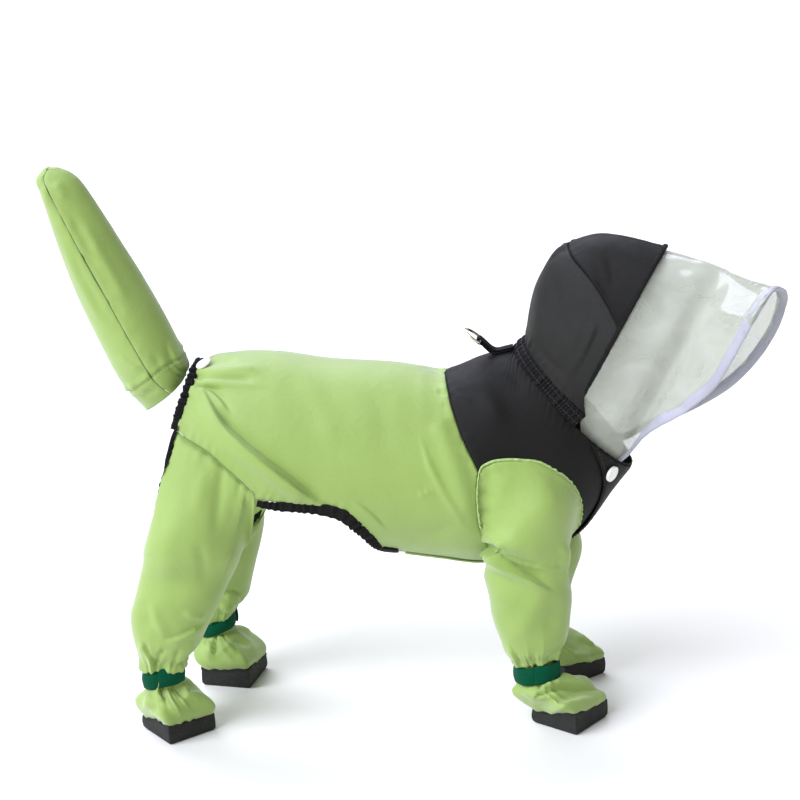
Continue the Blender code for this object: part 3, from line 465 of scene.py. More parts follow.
def round_spline(angles, values, angle):
    """Closed cubic through values at rising angles in degrees."""
    a = np.asarray(angle, float) % 360.0
    n = len(angles)
    i = np.searchsorted(angles, a, side="right") - 1
    x1 = angles[i]
    x2 = angles[(i + 1) % n] + np.where(i + 1 == n, 360.0, 0.0)
    x0 = angles[i - 1] - np.where(i == 0, 360.0, 0.0)
    x3 = angles[(i + 2) % n] + np.where(i + 2 >= n, 360.0, 0.0)
    p0, p1, p2, p3 = (values[(i + k) % n] for k in (-1, 0, 1, 2))
    span = x2 - x1
    m1 = (p2 - p0) / (x2 - x0) * span
    m2 = (p3 - p1) / (x3 - x1) * span
    f = (a - x1) / span
    return ((2 * f ** 3 - 3 * f ** 2 + 1) * p1 + (f ** 3 - 2 * f ** 2 + f) * m1
            + (3 * f ** 2 - 2 * f ** 3) * p2 + (f ** 3 - f ** 2) * m2)


def smooth_step(x):
    x = np.clip(x, 0.0, 1.0)
    return x * x * (3 - 2 * x)


def unit(v):
    return v / np.maximum(np.linalg.norm(v, axis=-1, keepdims=True), 1e-9)


def power(x, p):
    return np.sign(x) * np.abs(x) ** p


def bell(x, width, place=0.0):
    """1 at a place, falling away smoothly on both sides."""
    return np.exp(-((x - place) / width) ** 2)


def half_turn(angle):
    """Angle in degrees brought to between -180 and 180."""
    return (angle + 180.0) % 360.0 - 180.0


def round_turn(count):
    """Angles in degrees, evenly round a ring."""
    return np.arange(count) * 360.0 / count


def run_of(path):
    """Distance along a path to each of its points."""
    return np.concatenate([[0], np.cumsum(np.linalg.norm(np.diff(path, axis=0), axis=1))])


def sampled(at, run, values):
    """Points or directions given along a run, taken at other distances."""
    return np.stack([np.interp(at, run, values[:, k]) for k in range(3)], 1)


def smoothed(path, times):
    """Path with its corners evened out and its ends kept."""
    for _ in range(times):
        path[1:-1] = (path[:-2] + 2 * path[1:-1] + path[2:]) / 4
    return path


def moved_out(surface, a, b, out, step=0.02):
    """Points of a surface moved along its normal; positive is to the outside."""
    da = surface(a + step, b) - surface(a - step, b)
    db = surface(a, b + step) - surface(a, b - step)
    return surface(a, b) + np.asarray(out, float)[..., None] * unit(np.cross(da, db))


def body(row, angle):
    """Body surface: row along the sections, angle in radians from the spine, - is right."""
    top_x, top_z, low_x, low_z, w = (spline(BODY[k], row) for k in BODY)
    mid_x, mid_z = (top_x + low_x) / 2, (top_z + low_z) / 2
    c, s = np.cos(angle), np.sin(angle)
    return np.stack([mid_x + (top_x - mid_x) * c, w * s, mid_z + (top_z - mid_z) * c], -1)


def fold_height(row, angle):
    degrees = np.degrees(angle)
    total = np.zeros(np.broadcast(row, angle).shape)
    for ra, aa, rb, ab, width, height in zip(*BODY_FOLDS.values()):
        f = (row - ra) / (rb - ra)
        off = (degrees - (aa + (ab - aa) * f)) / width
        f = np.clip(f, 0, 1)
        total += (height * np.exp(-off * off) * np.sin(np.pi * f) ** 0.6
                  * smooth_step(f / 0.25) * smooth_step((1 - f) / 0.25))
    return total


def cloth_body(row, angle):
    return moved_out(body, row, angle, fold_height(row, angle))


def yoke_seam(angle):
    return np.interp(np.abs(np.degrees(angle)), YOKE_SEAM["side"], YOKE_SEAM["row"])


def arch(ribs, row, angle, fullness=0.88):
    """Surface of ribs that spring from two feet over a crown; angle from -90 to 90 degrees."""
    row, angle = np.broadcast_arrays(np.asarray(row, float), np.asarray(angle, float))
    v = [spline(ribs[k], row) for k in ribs]
    crown, near, far = (np.stack(v[k:k + 3], -1) for k in (0, 3, 6))
    a = np.radians(angle)[..., None]
    middle = (near + far) / 2
    return (middle + (crown - middle) * power(np.cos(a), fullness)
            + (far - near) / 2 * power(np.sin(a), fullness))


def hood(row, angle):
    return arch(HOOD, row, angle)


def visor(row, angle):
    return arch(VISOR, row, angle)


def hood_seam(angle):
    f = np.minimum(np.abs(angle) / HOOD_SEAM_END, 1.0)
    last = len(HOOD["crown_x"]) - 1
    return HOOD_SEAM_START + (last - HOOD_SEAM_START) * f ** HOOD_SEAM_POWER


def tail(row, turn):
    """Tail sleeve: turn from 0 to 180 is the front half, near to far, -180 to 0 the rear."""
    row, turn = np.broadcast_arrays(np.asarray(row, float), np.asarray(turn, float))
    lx, lz, rx, rz, w = (spline(TAIL[k], row) for k in TAIL)
    zero = np.zeros_like(lx)
    left, right = np.stack([lx, zero, lz], -1), np.stack([rx, zero, rz], -1)
    share = np.interp(row, TAIL_SEAM["row"], TAIL_SEAM["share"])
    seam = left + share[..., None] * (right - left)
    a = np.radians(np.abs(turn))
    reach_out = np.where((turn > 0)[..., None], right, left) - seam
    side = np.stack([zero, -w * np.cos(a), zero], -1)
    return seam + reach_out * (np.abs(np.sin(a)) ** 1.1)[..., None] + side


def leg_hole():
    """Rim of the hind leg: sewn to the hem on its outer side, free on its inner side."""
    sewn = [(SEWN_TURN * (SEWN_ROWS - 1 - k), HEM["row"][k], HEM["reach"][k] + (k == 0))
            for k in range(SEWN_ROWS)]
    return table("angle row side", *sorted([*sewn, *zip(*LEG_RIM.values())]))


LEG_HOLE = leg_hole()


def hole_point(hole, angle, out=0.0):
    row = round_spline(hole["angle"], hole["row"], angle)
    around = -np.radians(round_spline(hole["angle"], hole["side"], angle))
    return moved_out(body, row, around, fold_height(row, around) + out)


def hole_rim(hole, angle):
    """Points just inside the edge of a hole, where the leg's own cloth starts."""
    here = hole_point(hole, angle)
    along = hole_point(hole, angle + 2.0) - hole_point(hole, angle - 2.0)
    inward = unit(np.cross(hole_point(hole, angle, 1.0) - here, along))
    return here + inward * (GAP + 0.25)


def leg_ring(rings, k, angle):
    z, back, front, outer, inner, slope_x, slope_y = (rings[n][k] for n in rings)
    a = np.radians(angle)
    dx = (front - back) / 2 * power(np.cos(a), 0.9)
    dy = -(inner - outer) / 2 * power(np.sin(a), 0.9)
    return np.stack([(front + back) / 2 + dx, (outer + inner) / 2 + dy,
                     z + slope_x * dx + slope_y * dy], -1)


def leg_rings(kind):
    return FRONT_LEG if kind == "front" else HIND_LEG


def leg_columns(kind, side, shift, angle):
    """Points down the columns of a leg, from its hole to under the strap."""
    rings = leg_rings(kind)
    points = [hole_rim(ARMHOLE if kind == "front" else LEG_HOLE, angle)]
    points += [leg_ring(rings, k, angle) for k in range(len(rings["z"]))]
    points = np.stack(points)
    low = rings["z"][-1]
    forward = shift * smooth_step((-100.0 - points[..., 2]) / (-100.0 - low))
    return np.stack([points[..., 0] + forward, -side * points[..., 1], points[..., 2]], -1)


# ---------------------------------------------------------------- the photograph's frame

def turned(degrees):
    return math.cos(math.radians(degrees)), math.sin(math.radians(degrees))


TURN_C, TURN_S = turned(CAMERA_TURN)
RISE_C, RISE_S = turned(CAMERA_RISE)
ROLL_C, ROLL_S = turned(CAMERA_ROLL)
RIGHT = np.array([TURN_C, TURN_S, 0.0])
BACK = np.array([TURN_S * RISE_C, -TURN_C * RISE_C, RISE_S])
UP = np.array([-TURN_S * RISE_S, TURN_C * RISE_S, RISE_C])
EYE = CAMERA_TARGET + BACK * CAMERA_DISTANCE
FRAME_SIDE = 800


def photo_place(points):
    """Place in the photograph's frame where each point shows, in pixels."""
    v = points - CAMERA_TARGET
    x, y, depth = v @ RIGHT, v @ UP, CAMERA_DISTANCE - v @ BACK
    f = CAMERA_DISTANCE / depth / CAMERA_SCALE
    half = FRAME_SIDE / 2
    return np.stack([half + (x * ROLL_C - y * ROLL_S) * f, half - (x * ROLL_S + y * ROLL_C) * f], -1)


def crease_profile(kind, d, width):
    """Height across a crease; d is the distance from its path, positive on the right."""
    if kind == "ridge":
        return bell(d, width)
    if kind == "groove":
        return -bell(d, width)
    lip = bell(d, 1.7 * width)
    near = bell(d, 0.3 * width)
    drop = near - 0.7 * (1 - near) * bell(d, 1.3 * width)
    return np.where(d >= 0, lip, drop)


def read_creases(text):
    """Rows of one table of creases, as kind, height, width, ends and path."""
    for line in filter(str.strip, text.splitlines()):
        kind, height, width, ends, *path = line.split()
        yield kind, float(height), float(width), ends, [spot.split(",") for spot in path]


def add_creases(field, points, normals, creases):
    """Adds the creases of one side to a field of heights over a grid of points."""
    place = photo_place(points)
    facing = smooth_step(np.sum(unit(EYE - points) * normals, -1) / 0.35)
    for kind, height, width, ends, path in read_creases(creases):
        height = height * CREASE_DEPTH
        path = spline(np.array(path, float), np.linspace(0, len(path) - 1, 8 * len(path)))
        low, high = path.min(0) - 4 * width, path.max(0) + 4 * width
        at = np.nonzero(np.all((place > low) & (place < high), -1) & (facing > 0))
        if not len(at[0]):
            continue
        spot = place[at][:, None, :]
        start, step = path[:-1], np.diff(path, axis=0)
        f = np.clip(np.sum((spot - start) * step, -1) / np.sum(step * step, -1), 0, 1)
        off = spot - (start + f[..., None] * step)
        far = np.linalg.norm(off, axis=-1)
        best = np.argmin(far, 1)
        pick = np.arange(len(best))
        side = np.sign(step[best, 0] * off[pick, best, 1] - step[best, 1] * off[pick, best, 0])
        distance = far[pick, best] * np.where(side == 0, 1.0, side)
        along = (best + f[pick, best]) / len(step)
        fade = np.ones_like(along)
        if "a" not in ends:
            fade = fade * smooth_step(along / 0.35)
        if "b" not in ends:
            fade = fade * smooth_step((1 - along) / 0.35)
        field[at] += height * fade * crease_profile(kind, distance, width) * facing[at]
    return field


MIRROR = np.array([1.0, -1.0, 1.0])


def creases_of(name, points, normals):
    field = np.zeros(points.shape[:2])
    add_creases(field, points, normals, CREASES.get(name + " near", ""))
    add_creases(field, points * MIRROR, normals * MIRROR, CREASES.get(name + " far", ""))
    return field


def soft_noise(points, size, seed, count=7):
    """Smooth uneven heights between about -1 and 1 over points, with waves of about size mm."""
    random = np.random.RandomState(seed)
    total = np.zeros(points.shape[:-1])
    for _ in range(count):
        direction = unit(random.normal(size=3))
        wave = size * random.uniform(0.7, 1.6)
        total += np.sin(points @ direction * 2 * math.pi / wave + random.uniform(0, 6.3))
    return total / math.sqrt(count)


def line_noise(s, size, seed, count=6):
    """Smooth uneven heights between about -1 and 1 along a length in mm."""
    random = np.random.RandomState(seed)
    total = np.zeros_like(s)
    for _ in range(count):
        wave = size * random.uniform(0.6, 1.8)
        total += np.sin(s * 2 * math.pi / wave + random.uniform(0, 6.3))
    return total / math.sqrt(count)


# ---------------------------------------------------------------- grids

def grid_normals(points, closed=False, flip=False):
    down = np.gradient(points, axis=0)
    if closed:
        across = np.roll(points, -1, axis=1) - np.roll(points, 1, axis=1)
    else:
        across = np.gradient(points, axis=1)
    return unit(np.cross(down, across)) * (-1.0 if flip else 1.0)


def lengths(points, axis):
    """Distance along the rows or the columns of a grid, from its first edge."""
    step = np.linalg.norm(np.diff(points, axis=axis), axis=-1)
    pad = [(0, 0), (0, 0)]
    pad[axis] = (1, 0)
    return np.pad(np.cumsum(step, axis=axis), pad)


def edge_distance(points, edges):
    """Distance from the nearest of the named edges: first, last (row), left, right (column)."""
    down, across = lengths(points, 0), lengths(points, 1)
    choice = {"first": down, "last": down[-1:] - down,
              "left": across, "right": across[:, -1:] - across}
    return np.minimum.reduce([choice[name] for name in edges])


def seam_relief(points, edges, seed, roll=0.8, pucker=0.35, reach=7.0, size=9.0):
    """Cloth that turns in at its seams and puckers beside them."""
    field = np.zeros(points.shape[:2])
    for name in edges:
        d = edge_distance(points, [name])
        along = lengths(points, 1 if name in ("first", "last") else 0)
        field -= roll * bell(d, 1.5)
        field += pucker * np.exp(-d / reach) * line_noise(along, size, seed) * (d > 0.5)
        seed += 1
    return field


def add_mesh(name, vertices, faces, look, uv=None, smooth=True):
    mesh = bpy.data.meshes.new(name)
    mesh.from_pydata([tuple(p) for p in np.asarray(vertices) * MM], [], faces)
    if uv is not None:
        layer = mesh.uv_layers.new(name="cloth")
        layer.data.foreach_set("uv", np.asarray(uv, np.float32).ravel())
    mesh.update()
    if smooth:
        mesh.shade_smooth()
    thing = bpy.data.objects.new("fine_" + name, mesh)
    mesh.materials.append(LOOKS[look])
    bpy.context.scene.collection.objects.link(thing)
    return thing


def grid_mesh(name, points, look, closed=False, flip=False):
    """Mesh of a grid of points, with the cloth's own lengths in centimetres as its UV map."""
    rows, columns = points.shape[:2]
    wrap = np.concatenate([points, points[:, :1]], 1) if closed else points
    u = lengths(wrap, 1).mean(0) / 10
    v = lengths(points, 0).mean(1) / 10
    i, j = np.meshgrid(np.arange(rows - 1), np.arange(columns if closed else columns - 1),
                       indexing="ij")
    i, j = i.ravel(), j.ravel()
    k = (j + 1) % columns
    faces = np.stack([i * columns + j, (i + 1) * columns + j, (i + 1) * columns + k,
                      i * columns + k], 1)
    uv = np.stack([np.stack([u[j], v[i]], -1), np.stack([u[j], v[i + 1]], -1),
                   np.stack([u[j + 1], v[i + 1]], -1), np.stack([u[j + 1], v[i]], -1)], 1)
    if flip:
        faces, uv = faces[:, ::-1], uv[:, ::-1]
    return add_mesh(name, points.reshape(-1, 3), faces.tolist(), look, uv)


def solidify(thing, wall, offset=-1.0):
    mod = thing.modifiers.new("wall", "SOLIDIFY")
    mod.thickness = wall * MM
    mod.offset = offset
    return thing


def bake(thing):
    """Replaces the mesh by its own result and clears the modifiers."""
    graph = bpy.context.evaluated_depsgraph_get()
    made = bpy.data.meshes.new_from_object(thing.evaluated_get(graph), depsgraph=graph)
    thing.modifiers.clear()
    thing.data = made
    return thing


def piece(thing, *nodes, slot=None):
    """Sets up a visible piece under the root, hiding the CAD nodes that it stands for; its colour slot is
    not used.
    """
    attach(thing, "root")
    if nodes:
        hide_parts(*nodes)
    return thing


@contextmanager
def reworked(thing, smooth=True):
    """Mesh of an object opened for changes, then closed with its faces turned to the outside."""
    work = bmesh.new()
    work.from_mesh(thing.data)
    work.verts.ensure_lookup_table()
    yield work
    bmesh.ops.recalc_face_normals(work, faces=work.faces)
    work.to_mesh(thing.data)
    work.free()
    if smooth:
        thing.data.shade_smooth()


def shell(name, points, look, field=None, closed=False, flip=False, wall=CLOTH, offset=-1.0,
          seed=1, noise=0.3, noise_size=55.0):
    """Thin shell over a grid of points with its creases, soft unevenness and extra relief."""
    normals = grid_normals(points, closed, flip)
    height = creases_of(name, points, normals) + noise * soft_noise(points, noise_size, seed)
    if field is not None:
        height = height + field
    shaped = points + normals * height[..., None]
    return solidify(grid_mesh(name, shaped, look, closed, flip), wall, offset), shaped


def cloth(name, points, look, slot, field=None, stands_for=None, **ways):
    """Shell put in place of its CAD node, which is hidden; gives back the points of its outside."""
    thing, shaped = shell(name, points, look, field, **ways)
    piece(thing, stands_for or name, slot=slot)
    return shaped


def strip(route, y, steps, half_width, columns):
    """Points of a flat strip that follows a route at a distance y from the middle plane."""
    path = np.stack([route["x"], np.full(len(route["x"]), y), route["z"]], 1)
    line = spline(path, np.linspace(0, len(path) - 1, steps))
    across = np.linspace(-half_width, half_width, columns)
    return line[:, None, :] + np.array([0.0, 1.0, 0.0]) * across[None, :, None], across


# ---------------------------------------------------------------- materials

LOOKS = {}


def look_nodes(name):
    made = bpy.data.materials.new(name)
    made.use_nodes = True
    nodes, links = made.node_tree.nodes, made.node_tree.links
    return made, nodes, links, nodes["Principled BSDF"]


def set_inputs(made, **values):
    for key, value in values.items():
        made.inputs[key.replace("_", " ")].default_value = value


def node(nodes, kind, **values):
    made = nodes.new(kind)
    for key, value in values.items():
        if hasattr(made, key):
            setattr(made, key, value)
        else:
            set_inputs(made, **{key: value})
    return made


def texture(nodes, links, kind, output="Fac", **values):
    """Texture over the object's own coordinates."""
    made = node(nodes, kind, **values)
    links.new(node(nodes, "ShaderNodeTexCoord").outputs["Object"], made.inputs["Vector"])
    return made.outputs[output]


def ramp(nodes, links, source, low, high, colour_a, colour_b):
    made = node(nodes, "ShaderNodeValToRGB")
    first, last = made.color_ramp.elements
    first.position, last.position = low, high
    first.color, last.color = (*colour_a, 1.0), (*colour_b, 1.0)
    links.new(source, made.inputs["Fac"])
    return made.outputs["Color"]


def spread(nodes, links, source, low, high, target):
    """Feeds a socket with a source that runs from 0 to 1, brought to another range."""
    made = node(nodes, "ShaderNodeMapRange", To_Min=low, To_Max=high)
    links.new(source, made.inputs["Value"])
    links.new(made.outputs["Result"], target)


def raised(nodes, links, source, strength, distance, below=None, invert=False):
    """Normal of a bump from a source, laid over another bump if there is one."""
    made = node(nodes, "ShaderNodeBump", Strength=strength, Distance=distance, invert=invert)
    links.new(source, made.inputs["Height"])
    if below is not None:
        links.new(below, made.inputs["Normal"])
    return made.outputs["Normal"]


def cloth_look(name, colour, deep, roughness, pitch=0.5, weave=0.25, crinkle=0.35, sheen=0.15,
               sheen_roughness=0.4, gloss=0.5):
    """Plain woven cloth: colour that varies, fine weave from the UV map, and a soft crinkle."""
    made, nodes, links, shader = look_nodes(name)
    uv = node(nodes, "ShaderNodeUVMap", uv_map="cloth")
    broad = texture(nodes, links, "ShaderNodeTexNoise", Scale=14.0, Detail=4.0, Roughness=0.55)
    tone = ramp(nodes, links, broad, 0.35, 0.68, deep, colour)
    woven = node(nodes, "ShaderNodeMath", operation="MULTIPLY")
    for number, direction in enumerate("XY"):
        wave = node(nodes, "ShaderNodeTexWave", wave_type="BANDS", bands_direction=direction,
                    Scale=3.14 / pitch, Distortion=0.6, Detail=1.0, Detail_Scale=2.0)
        links.new(uv.outputs["UV"], wave.inputs["Vector"])
        links.new(wave.outputs["Fac"], woven.inputs[number])
    shade = node(nodes, "ShaderNodeMix", data_type="RGBA", blend_type="MULTIPLY")
    shade.inputs["Factor"].default_value = 0.35 * weave
    links.new(tone, shade.inputs[6])
    links.new(woven.outputs[0], shade.inputs[7])
    links.new(shade.outputs[2], shader.inputs["Base Color"])
    fine = texture(nodes, links, "ShaderNodeTexNoise", Scale=75.0, Detail=5.0, Roughness=0.6,
                   Distortion=0.7)
    spread(nodes, links, fine, roughness - 0.07, roughness + 0.07, shader.inputs["Roughness"])
    crinkled = raised(nodes, links, fine, crinkle, 0.0012)
    links.new(raised(nodes, links, woven.outputs[0], weave, 0.00015, below=crinkled),
              shader.inputs["Normal"])
    set_inputs(shader, Sheen_Weight=sheen, Sheen_Roughness=sheen_roughness, Specular_IOR_Level=gloss)
    LOOKS[name] = made


def grain_look(name, colour, deep, roughness, scale, depth, metallic=0.0, spots=False, coat=0.0):
    """Moulded or metal surface with a fine grain, or with a grain of small raised dots."""
    made, nodes, links, shader = look_nodes(name)
    if spots:
        source = texture(nodes, links, "ShaderNodeTexVoronoi", "Distance", Scale=scale, Randomness=0.9)
        tone = ramp(nodes, links, source, 0.12, 0.5, colour, deep)
    else:
        source = texture(nodes, links, "ShaderNodeTexNoise", Scale=scale, Detail=6.0, Roughness=0.6)
        tone = ramp(nodes, links, source, 0.35, 0.65, deep, colour)
    links.new(tone, shader.inputs["Base Color"])
    cloud = texture(nodes, links, "ShaderNodeTexNoise", Scale=90.0, Detail=4.0)
    spread(nodes, links, cloud, max(roughness - 0.1, 0.05), min(roughness + 0.1, 1.0),
           shader.inputs["Roughness"])
    links.new(raised(nodes, links, source, 0.5, depth, invert=spots), shader.inputs["Normal"])
    set_inputs(shader, Metallic=metallic, Coat_Weight=coat)
    LOOKS[name] = made


def clear_look():
    """Soft clear sheet, slightly milky, with faint waves and rubbed places."""
    made, nodes, links, shader = look_nodes("clear_sheet")
    wavy = texture(nodes, links, "ShaderNodeTexNoise", Scale=22.0, Detail=3.0, Distortion=1.2)
    tone = ramp(nodes, links, wavy, 0.3, 0.7, (0.44, 0.48, 0.37), (0.56, 0.59, 0.48))
    links.new(tone, shader.inputs["Base Color"])
    spread(nodes, links, wavy, 0.40, 0.52, shader.inputs["Alpha"])
    links.new(raised(nodes, links, wavy, 0.2, 0.0025), shader.inputs["Normal"])
    set_inputs(shader, Roughness=0.14, Coat_Weight=0.4, Coat_Roughness=0.06)
    LOOKS["clear_sheet"] = made


def make_looks():
    cloth_look("green", (0.315, 0.460, 0.100), (0.285, 0.425, 0.082), 0.55,
               weave=0.4, crinkle=0.45, sheen=0.45, sheen_roughness=0.45, gloss=0.5)
    # Lighter copy of the green for the sleeve's seam welt: a painted highlight along the lit cap seam.
    cloth_look("green_painted_highlight", (0.38, 0.54, 0.17), (0.34, 0.49, 0.14), 0.6, sheen=0.1)
    cloth_look("green_trim", (0.26, 0.39, 0.08), (0.22, 0.34, 0.06), 0.5, sheen=0.12,
               sheen_roughness=0.5)
    cloth_look("charcoal", (0.011, 0.011, 0.009), (0.007, 0.007, 0.005), 0.55, pitch=0.8,
               weave=0.55, sheen=0.0, gloss=0.13)
    cloth_look("hood_cloth", (0.024, 0.024, 0.020), (0.016, 0.016, 0.013), 0.6, pitch=0.8,
               weave=0.6, sheen=0.01, gloss=0.17)
    cloth_look("binding", (0.009, 0.009, 0.008), (0.005, 0.005, 0.004), 0.7, pitch=0.9,
               weave=0.8, sheen=0.0, gloss=0.15)
    cloth_look("webbing", (0.010, 0.010, 0.010), (0.006, 0.006, 0.006), 0.75, pitch=1.0,
               weave=0.9, sheen=0.0, gloss=0.15)
    cloth_look("strap", (0.0, 0.105, 0.045), (0.0, 0.062, 0.024), 0.9, pitch=0.6, weave=0.8,
               crinkle=0.6, sheen=0.05, gloss=0.1)
    cloth_look("soft_edge", (0.44, 0.44, 0.49), (0.35, 0.355, 0.39), 0.5, pitch=0.6, weave=0.3,
               sheen=0.1)
    cloth_look("green_thread", (0.52, 0.74, 0.30), (0.42, 0.64, 0.22), 0.6, pitch=0.3, weave=0.8)
    cloth_look("dark_thread", (0.022, 0.022, 0.020), (0.014, 0.014, 0.013), 0.6, pitch=0.3, weave=0.8)
    grain_look("sole", (0.022, 0.024, 0.013), (0.004, 0.005, 0.003), 0.75, 800.0, 0.0006, spots=True)
    grain_look("snap_cap", (0.86, 0.86, 0.81), (0.80, 0.80, 0.74), 0.28, 300.0, 0.0001, coat=0.3)
    grain_look("ring_metal", (0.80, 0.74, 0.58), (0.70, 0.64, 0.48), 0.24, 400.0, 0.00005,
               metallic=1.0)
    clear_look()


# ---------------------------------------------------------------- body pieces

def hem_path():
    """Rows of the back panel with the angle that each reaches, close together."""
    angle = np.linspace(SEWN_TURN * (SEWN_ROWS - 1), 0.0, 90)
    row = round_spline(LEG_HOLE["angle"], LEG_HOLE["row"], angle)
    reach = np.minimum(round_spline(LEG_HOLE["angle"], LEG_HOLE["side"], angle),
                       np.where(row < 0.02, HEM["reach"][0], 360.0))
    free = np.linspace(HEM["row"][SEWN_ROWS - 1], HEM["row"][-1], 200)
    place = np.interp(free, HEM["row"], np.arange(len(HEM["row"])))
    smooth = np.clip(spline(HEM["reach"], place), 0, HEM["reach"][-1])
    row = np.minimum(np.maximum.accumulate(row), free[0])
    rows = np.linspace(0, HEM["row"][-1], 160)
    return rows, np.interp(rows, np.concatenate([row[:-1], free]), np.concatenate([reach[:-1], smooth]))


def armhole_cutter(side, count=120):
    """Solid that passes through the cloth along the rim of an armhole."""
    mirror = np.array([1.0, -side, 1.0])
    angle = round_turn(count)
    inner = hole_point(ARMHOLE, angle, -7.0) * mirror
    outer = hole_point(ARMHOLE, angle, 7.0) * mirror
    middle = outer.mean(0)
    away = unit(np.array([0.0, side * 0.75, -0.66]))
    points = np.concatenate([inner, outer, [middle - 40 * away, middle + 30 * away]])
    faces = []
    for j in range(count):
        k = (j + 1) % count
        faces += [(j, k, count + k, count + j), (k, j, 2 * count), (count + j, count + k, 2 * count + 1)]
    thing = add_mesh("armhole_cutter", points, faces, "green", smooth=False)
    with reworked(thing, smooth=False):
        pass
    return thing


def cut_armholes(thing):
    for side in (-1, 1):
        cutter = armhole_cutter(side)
        mod = thing.modifiers.new("hole", "BOOLEAN")
        mod.operation = "DIFFERENCE"
        mod.solver = "EXACT"
        mod.object = cutter
        bake(thing)
        bpy.data.objects.remove(cutter)
    return thing


def make_back_panel():
    hem_row, reach = hem_path()
    across = np.linspace(-1, 1, 215)
    row = hem_row[:, None] / HEM["row"][-1] * (yoke_seam(across * math.pi)[None, :] - SEAM_ROOM)
    calm = np.pad(reach, 14, mode="edge")
    for _ in range(3):
        calm = np.convolve(calm, np.ones(9) / 9, mode="same")
    calm = calm[14:-14]
    turn = calm[:, None] * across + (reach - calm)[:, None] * across * np.abs(across) ** 9
    points = cloth_body(row, np.radians(turn))
    d = edge_distance(points, ["first"])
    along = lengths(points, 1)
    gathers = 0.55 * np.exp(-d / 9.0) * line_noise(along, 11.0, 3)
    gathers += 0.5 * np.exp(-d / 26.0) * line_noise(along, 24.0, 4)
    field = gathers + seam_relief(points, ["last"], 11, pucker=0.5)
    edges = seam_relief(points, ["left", "right"], 21, roll=0.6, pucker=0.4)
    thing, _ = shell("back_panel", points, "green", field + edges, seed=5, noise=0.35,
                     noise_size=80.0)
    piece(cut_armholes(thing), "back_panel", slot="green")


def make_yoke():
    angle = 2 * math.pi * (np.arange(210) / 210 - 0.5)
    seam = yoke_seam(angle) + SEAM_ROOM
    row = seam + (NECK_ROW - seam) * np.linspace(0, 1, 62)[:, None]
    points = body(row, np.broadcast_to(angle, row.shape))
    down, along = lengths(points, 0), lengths(points, 1)
    left = down[-1:] - down
    field = 0.3 * np.exp(-down / 6.0) * line_noise(along, 10.0, 7) - 0.7 * bell(down, 1.5)
    field += 0.8 * np.exp(-left / 8.0) * line_noise(along, 7.0, 9)
    thing, _ = shell("yoke", points, "charcoal", field, closed=True, seed=8, noise=0.35)
    piece(cut_armholes(thing), "yoke", slot="charcoal")


def patch_points(edges, rows, columns, out):
    t = np.linspace(0, len(edges["row"]) - 1, rows)
    row, first, last = (np.interp(t, np.arange(len(edges["row"])), edges[k])[:, None] for k in edges)
    angle = np.radians(first + (last - first) * np.linspace(0, 1, columns))
    row = np.broadcast_to(row, angle.shape)
    return moved_out(body, row, angle, out)


# Cloth laid on the body: edges, rows and columns, lift, look, slot, seed, roll and pucker of its
# seams, wall and noise.
PATCHES = {
    "chest_flap": (CHEST_FLAP, 70, 44, 3 * LAP, "charcoal", "charcoal", 31, 0.7, 0.25, 1.2, 0.3),
    "belly_flap": (BELLY_FLAP, 60, 26, 2 * LAP, "green_trim", "green", 41, 0.5, 0.3, 1.0, 0.3),
    "belly_tab": (BELLY_TAB, 20, 14, LAP, "binding", "binding", 51, 0.5, 0.0, 2.2, 0.2),
}


def make_flaps():
    for name, values in PATCHES.items():
        edges, rows, columns, lift, look, slot, seed, roll, pucker, wall, noise = values
        points = patch_points(edges, rows, columns, lift)
        field = seam_relief(points, ["first", "last", "left", "right"], seed, roll=roll, pucker=pucker)
        shaped = cloth(name, points, look, slot, field, wall=wall, offset=1.0, noise=noise)
        if name == "chest_flap":
            stitch_row("chest_flap_stitches", shaped[:, -4], grid_normals(shaped)[:, -4], 1.3,
                       "dark_thread")


def stitch_row(name, path, normals, lift, look, pitch=3.0, length=2.1, radius=0.33):
    """Row of small stitches along a path."""
    run = run_of(path)
    middles = np.arange(pitch / 2, run[-1] - pitch / 2, pitch)
    spot = sampled(middles, run, path)
    along = unit(sampled(middles + 0.5, run, path) - spot)
    side = unit(np.cross(along, unit(sampled(middles, run, normals))))
    out = np.cross(side, along)
    # Rings of a stitch: place along it, size and height, in lengths and radii.
    rings = ((-0.5, 0.35, -0.5), (-0.3, 1.0, 0.1), (0.0, 1.15, 0.35), (0.3, 1.0, 0.1), (0.5, 0.35, -0.5))
    corners = 6
    vertices, faces, uv = [], [], []
    for k in range(len(spot)):
        base = len(vertices)
        for along_by, size, sink in rings:
            middle = spot[k] + along[k] * along_by * length + out[k] * (lift + sink * radius)
            for c in range(corners):
                a = 2 * math.pi * c / corners
                vertices.append(middle + radius * size * (side[k] * math.cos(a) + out[k] * math.sin(a)))
        for r in range(len(rings) - 1):
            for c in range(corners):
                d = (c + 1) % corners
                faces.append((base + r * corners + c, base + r * corners + d,
                              base + (r + 1) * corners + d, base + (r + 1) * corners + c))
                uv += [(c / 20, r / 20), ((c + 1) / 20, r / 20), ((c + 1) / 20, (r + 1) / 20),
                       (c / 20, (r + 1) / 20)]
    return piece(add_mesh(name, vertices, faces, look, uv))


